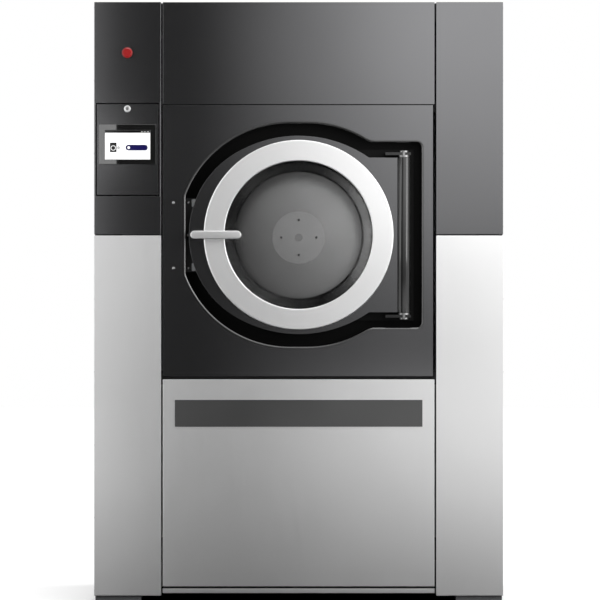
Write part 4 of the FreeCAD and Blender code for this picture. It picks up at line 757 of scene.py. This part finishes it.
COVER_SCREW_RADIUS = 0.006
COVER_SCREW_INSET = 0.014
FRONT_SCREW_RADIUS = 0.0048
FRONT_SCREW_LEVELS = (1.208, 1.445)
PANEL_SCREW_X = -0.453
LOCK_SCREW_X = -0.401
LEVER_THICKNESS = 0.010
LEVER_EDGE = 0.004
LEVER_EDGE_STEPS = 6
LEVER_END_STEPS = 24
NECK_RADIUS = 0.0135
NECK_FLARE = 0.001
HUB_BOLT_CIRCLE = 0.066
HUB_BOLT_COUNT = 4
SOCKET_RADIUS = 0.0045
SOCKET_DEPTH = 0.0006
TAB_LEFT = -0.388
TAB_RIGHT = -0.374
TAB_HALF = 0.014
TAB_LEVELS = (1.212, 1.444)
TAB_THICKNESS = 0.0014
TAB_CORNER = 0.002


def screw_head(place, axis, radius):
    """A low domed head with a socket in its middle, standing on place along axis."""
    proud = radius * 0.55
    profile = [(0, 0), (radius, 0), (radius, proud * 0.35), (radius * 0.9, proud * 0.72),
               (radius * 0.7, proud * 0.95), (radius * 0.5, proud), (radius * 0.42, proud * 0.9),
               (radius * 0.4, proud * 0.35), (0, proud * 0.3)]
    return turned(profile, place, axis, 18)


def screws(name, places, axis, radius, body):
    heads = [screw_head(place, axis, radius) for place in places]
    piece = add_piece(name, *join(*heads), bright_steel, body)


def spaced(start, end, count):
    """A number of points from start to end, both counted."""
    return [Vector(start).lerp(Vector(end), index / (count - 1)) for index in range(count)]


def front_screws():
    panel_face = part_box("door_panel")[0][1]
    lock_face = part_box("lock_plate")[0][1]
    panel_places = [(PANEL_SCREW_X, panel_face, z) for z in FRONT_SCREW_LEVELS]
    lock_places = [(LOCK_SCREW_X, lock_face, z) for z in FRONT_SCREW_LEVELS]
    screws("door_panel_screws", panel_places, FORWARD, FRONT_SCREW_RADIUS, "cabinet")
    screws("lock_plate_screws", lock_places, FORWARD, FRONT_SCREW_RADIUS, "tub_unit")


def screw_lines(low, high):
    """The sides of a box moved in to where the rows of cover screws stand."""
    near = [side + COVER_SCREW_INSET for side in low]
    far = [side - COVER_SCREW_INSET for side in high]
    return near, far


def back_screws():
    """Heads along the edges of the drive cover, and along the upright edges of the rear panel."""
    low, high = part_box("drive_cover")
    near, far = screw_lines(low, high)
    face = high[1]
    places = []
    for x in (near[0], far[0]):
        places.extend(spaced((x, face, near[2]), (x, face, far[2]), 7))
    for z in (near[2], far[2]):
        places.extend(spaced((near[0], face, z), (far[0], face, z), 5)[1:-1])
    screws("drive_cover_screws", places, BACKWARD, COVER_SCREW_RADIUS, "cabinet")
    low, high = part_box("rear_panel")
    near, far = screw_lines(low, high)
    face = high[1]
    places = []
    for x in (near[0], far[0]):
        places.extend(spaced((x, face, near[2]), (x, face, far[2]), 9))
    screws("rear_panel_screws", places, BACKWARD, COVER_SCREW_RADIUS, "cabinet")


def side_screws():
    low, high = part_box("side_panels")
    near, far = screw_lines(low, high)
    for name, x, out in (("left_side_screws", low[0], -1), ("right_side_screws", high[0], 1)):
        places = []
        for y in (near[1], far[1]):
            places.extend(spaced((x, y, near[2]), (x, y, far[2]), 9))
        screws(name, places, (out, 0, 0), COVER_SCREW_RADIUS, "cabinet")


def roof_screws():
    low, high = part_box("roof")
    near, far = screw_lines(low, high)
    places = []
    for x in (near[0], far[0]):
        places.extend(spaced((x, near[1], high[2]), (x, far[1], high[2]), 6))
    screws("roof_screws", places, UP, COVER_SCREW_RADIUS, "cabinet")


def rounded_bar(centres, middle, half, front, back):
    """A level bar with half-round ends about the two centres, and with rounded edges in front and behind."""
    angles = [math.pi / 2 * step / LEVER_EDGE_STEPS for step in range(LEVER_EDGE_STEPS + 1)]
    levels = [(LEVER_EDGE * (1 - math.sin(angle)), front + LEVER_EDGE * (1 - math.cos(angle)))
              for angle in angles]
    levels += [(inset, front + back - y) for inset, y in reversed(levels)]
    points = []
    for inset, y in levels:
        reach = half - inset
        for centre, start in zip(centres, (90, 270)):
            for turn in range(LEVER_END_STEPS + 1):
                angle = math.radians(start + 180 * turn / LEVER_END_STEPS)
                points.append((centre + reach * math.cos(angle), y, middle + reach * math.sin(angle)))
    count = 2 * (LEVER_END_STEPS + 1)
    faces = [tuple(range(count)), tuple(range(len(points) - count, len(points)))]
    for level in range(len(levels) - 1):
        for index in range(count):
            here = level * count + index
            after = level * count + (index + 1) % count
            faces.append((here, after, after + count, here + count))
    return points, faces


def lever_handle():
    """The door's lever: a rounded bar on a round neck."""
    low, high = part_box("door_handle")
    back = low[1] + LEVER_THICKNESS
    middle = (low[2] + high[2]) / 2
    half = (high[2] - low[2]) / 2
    centres = (low[0] + half, high[0] - half)
    bar = rounded_bar(centres, middle, half, low[1], back)
    sunk = back - NECK_FLARE
    neck = [(0, sunk), (NECK_RADIUS + NECK_FLARE, sunk), (NECK_RADIUS, back + NECK_FLARE),
            (NECK_RADIUS, high[1]), (0, high[1])]
    shape = join(bar, turned(neck, (centres[0], 0, middle), BACKWARD, 40))
    piece = add_piece("lever_handle", *shape, lever_metal, "handle")
    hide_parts("door_handle")


def key_collar():
    """The bright collar round the key plug in the control cover."""
    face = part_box("control_cover")[0][1]
    low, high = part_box("key_plug")
    middle = box_middle(low, high)
    profile = [(0.0083, 0.0), (0.0125, 0.0), (0.0125, 0.0026), (0.0118, 0.0036), (0.0104, 0.0041),
               (0.0078, 0.0041), (0.0064, 0.0039), (0.0060, 0.0034), (0.0083, 0.0033)]
    piece = add_piece("key_collar", *lathe(profile, (middle[0], face, middle[2]), FORWARD, 48),
                      lever_metal, "control_door", crease=60)


def screen_shapes():
    """A plain start page: a dark bar with three dots, a drum sign, a grey spot and one blank button."""
    low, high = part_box("touch_screen")
    face = low[1]
    layer = 0.0002

    def plate(name, left, right, bottom, top, radius, level, material):
        shape = rounded_plate(left, right, bottom, top, radius, face - level * layer, level * layer, 0.00005)
        piece = add_piece(name, *shape, material, "control_door")

    def disc(name, x, z, radius, level, material):
        plate(name, x - radius, x + radius, z - radius, z + radius, radius * 0.999, level, material)

    bar_bottom = high[2] - 0.0092
    dot_height = high[2] - 0.0052
    plate("screen_bar", low[0], high[0], bar_bottom, high[2], 0.0003, 1, screen_ink)
    for index in range(3):
        x = high[0] - 0.008 - 0.011 * index
        disc(f"screen_dot_{index}", x, dot_height, 0.0018, 2, screen_white)
    sign_x = -0.67085
    sign_z = 1.6427
    plate("screen_sign", -0.6827, -0.659, 1.6276, 1.6619, 0.002, 1, screen_ink)
    disc("screen_sign_ring", sign_x, sign_z, 0.0092, 2, screen_white)
    disc("screen_sign_drum", sign_x, sign_z, 0.0072, 3, screen_ink)
    disc("screen_ring", -0.6517, 1.6437, 0.0058, 1, screen_grey)
    plate("screen_button", -0.6258, -0.5463, 1.6338, 1.654, 0.0099, 1, screen_blue)
    disc("screen_button_dot", -0.6148, 1.6439, 0.005, 2, screen_white)


def painted_socket_shade():
    """Black discs on the heads of the four bolts on the drum's hub plate, painted shade in place of their
    sockets.
    """
    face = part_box("hub_plate")[0][1]
    profile = [(0, 0), (SOCKET_RADIUS, 0), (SOCKET_RADIUS, SOCKET_DEPTH * 0.6), (0.004, SOCKET_DEPTH),
               (0, SOCKET_DEPTH)]
    parts = []
    for index in range(HUB_BOLT_COUNT):
        angle = 2 * math.pi / HUB_BOLT_COUNT * index
        place = (HUB_BOLT_CIRCLE * math.cos(angle), face, DOOR_CENTRE + HUB_BOLT_CIRCLE * math.sin(angle))
        parts.append(turned(profile, place, FORWARD, 12))
    piece = add_piece("hub_bolt_socket_shade", *join(*parts), black_plastic, "drum")


def lock_tabs():
    """The two tabs on the lock plate beside the door's edge."""
    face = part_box("lock_plate")[0][1]
    parts = [rounded_plate(TAB_LEFT, TAB_RIGHT, z - TAB_HALF, z + TAB_HALF, TAB_CORNER,
                           face - TAB_THICKNESS, TAB_THICKNESS)
             for z in TAB_LEVELS]
    piece = add_piece("lock_tabs", *join(*parts), galvanised, "tub_unit")


front_screws()
# Painted shade for the sockets of the hub's bolts.
painted_socket_shade()
lock_tabs()
lever_handle()
back_screws()
side_screws()
roof_screws()
key_collar()
screen_shapes()


# Stage, light and camera

WHITE = (1, 1, 1, 1)
SKY_LIGHT = 0.45
FLOOR_REACH = 40

# The cards that only reflections see: how far in front they stand, the height of the upright one, and how
# brightly it shines, as (height, strength)
CARD_DEPTH = FRONT - 1.2
CARD_TOP = 3.4
CARD_LEVELS = [(0.0, 0.02), (0.25, 0.06), (0.55, 0.68), (0.7, 0.54), (0.9, 0.16), (1.3, 0.46), (2.0, 1.0)]


def card(name, corners, material):
    """A flat sheet that belongs to the stage."""
    mesh = bpy.data.meshes.new(name)
    mesh.from_pydata(corners, [], [tuple(range(len(corners)))])
    mesh.materials.append(material)
    piece = bpy.data.objects.new(name, mesh)
    bpy.context.scene.collection.objects.link(piece)
    return piece


def level_sheet(left, right, front, back, height):
    return [(left, front, height), (right, front, height), (right, back, height), (left, back, height)]


def upright_sheet(left, right, low, high, depth):
    return [(left, depth, low), (right, depth, low), (right, depth, high), (left, depth, high)]


def soft_box(name, place, aim, width, height, power):
    """A rectangular lamp that points at aim."""
    lamp = bpy.data.lights.new(name, "AREA")
    lamp.shape = "RECTANGLE"
    lamp.size = width
    lamp.size_y = height
    lamp.energy = power
    holder = bpy.data.objects.new(name, lamp)
    holder.location = place
    holder.rotation_euler = (Vector(aim) - Vector(place)).to_track_quat("-Z", "Y").to_euler()
    holder.visible_camera = False
    bpy.context.scene.collection.objects.link(holder)


def seen_directly(tree):
    """1 for what the camera, a reflection or glass looks at, and 0 for other light."""
    path = tree.nodes.new("ShaderNodeLightPath")
    seen = path.outputs["Is Camera Ray"]
    for name in ("Is Glossy Ray", "Is Transmission Ray"):
        larger = tree.nodes.new("ShaderNodeMath")
        larger.operation = "MAXIMUM"
        tree.links.new(seen, larger.inputs[0])
        tree.links.new(path.outputs[name], larger.inputs[1])
        seen = larger.outputs["Value"]
    return seen


def studio_world():
    """White where it is seen, and a weaker light elsewhere."""
    world = bpy.data.worlds.new("studio")
    world.use_nodes = True
    tree = world.node_tree
    background = tree.nodes["Background"]
    background.inputs["Color"].default_value = WHITE
    strength = ramp(tree, seen_directly(tree), 0.0, 1.0, low=SKY_LIGHT, high=1.0)
    tree.links.new(strength, background.inputs["Strength"])
    bpy.context.scene.world = world


def studio_floor():
    """A pale floor that keeps the machine's cast shadow and is white elsewhere, with a painted contact shadow
    where its glow fades near the machine.
    """
    material, tree, shader = new_material("studio_floor")
    shader.inputs["Base Color"].default_value = (*grey(0.9), 1)
    shader.inputs["Roughness"].default_value = 0.9
    shader.inputs["Emission Color"].default_value = WHITE
    # Painted shadow: ambient occlusion weakens the floor's white glow near the machine.
    painted_contact_shadow = tree.nodes.new("ShaderNodeAmbientOcclusion")
    painted_contact_shadow.inputs["Distance"].default_value = 0.5
    lift = ramp(tree, painted_contact_shadow.outputs["AO"], 0.0, 1.0, low=0.0, high=0.6)
    tree.links.new(product(tree, seen_directly(tree), lift), shader.inputs["Emission Strength"])
    card("studio_floor", level_sheet(-FLOOR_REACH, FLOOR_REACH, -FLOOR_REACH, FLOOR_REACH, 0.0), material)


def painted_shade_under_machine():
    """Black cards that paint the shade on the floor and in the depth under the machine, where no light comes.
    """
    material, _, shader = new_material("painted_shade_floor")
    shader.inputs["Base Color"].default_value = (*grey(0.003), 1)
    shader.inputs["Specular IOR Level"].default_value = 0.0
    card("painted_shade_floor", level_sheet(-0.66, 0.66, FRONT + 0.03, 0.45, 0.001), material)
    card("painted_shade_depth", upright_sheet(-0.52, 0.52, 0.0, 0.2, 0.2), material)


def card_material():
    """Black on the left and paler to the right, with a pale band near the floor and a pale top."""
    material, tree, shader = new_material("reflected_card")
    shader.inputs["Base Color"].default_value = (*grey(0), 1)
    shader.inputs["Specular IOR Level"].default_value = 0.0
    shader.inputs["Emission Color"].default_value = WHITE
    sideways = ramp(tree, coordinate(tree, "X"), -0.35, 0.45, low=0.0, high=1.9)
    upwards = tree.nodes.new("ShaderNodeValToRGB")
    stops = upwards.color_ramp.elements
    while len(stops) < len(CARD_LEVELS):
        stops.new(0.5)
    for stop, (height, strength) in zip(stops, CARD_LEVELS):
        stop.position = height / CARD_TOP
        stop.color = (*grey(strength), 1)
    tree.links.new(ramp(tree, coordinate(tree, "Z"), 0.0, CARD_TOP), upwards.inputs["Fac"])
    level = product(tree, sideways, upwards.outputs["Color"])
    tree.links.new(level, shader.inputs["Emission Strength"])
    return material


def patch_material():
    material, _, shader = new_material("bright_patch")
    shader.inputs["Emission Color"].default_value = WHITE
    shader.inputs["Emission Strength"].default_value = 1.0
    return material


def reflected_cards():
    """Shaded cards in front of the machine and on the floor there, seen only in reflections.

    A small bright patch in front of the upright card shows in the glossy bezel.
    """
    graded = card_material()
    pieces = [
        card("front_card", upright_sheet(-0.78, 1.35, 0.0, CARD_TOP, CARD_DEPTH), graded),
        card("ground_card", level_sheet(-2.5, 2.5, CARD_DEPTH, FRONT + 0.02, 0.01), graded),
        card("bright_patch", upright_sheet(-0.78, -0.694, 1.595, 1.775, CARD_DEPTH + 0.01), patch_material()),
    ]
    for piece in pieces:
        piece.visible_camera = False
        piece.visible_diffuse = False
        piece.visible_shadow = False


def front_camera():
    """Far in front and level, so that the view is almost without perspective."""
    lens = bpy.data.cameras.new("camera")
    lens.sensor_width = 36
    lens.lens = 378
    lens.clip_end = 200
    holder = bpy.data.objects.new("camera", lens)
    holder.location = (0.0049, FRONT - 22.8, 1.0926)
    holder.rotation_euler = (math.pi / 2, 0, 0)
    bpy.context.scene.collection.objects.link(holder)
    bpy.context.scene.camera = holder


studio_world()
studio_floor()
# Black cards as painted shade under the machine.
painted_shade_under_machine()
reflected_cards()
soft_box("key_light", place=(2.4, -2.6, 2.1), aim=(0.5, -0.7, 1.45), width=2.2, height=2.4, power=64)
soft_box("left_light", place=(-2.3, -2.5, 2.0), aim=(-0.5, -0.7, 1.35), width=2.0, height=2.2, power=15)
soft_box("top_light", place=(0.3, -0.6, 5.0), aim=(0, 0, 1), width=3.0, height=3.0, power=60)
front_camera()
bpy.context.scene.view_settings.view_transform = "Standard"
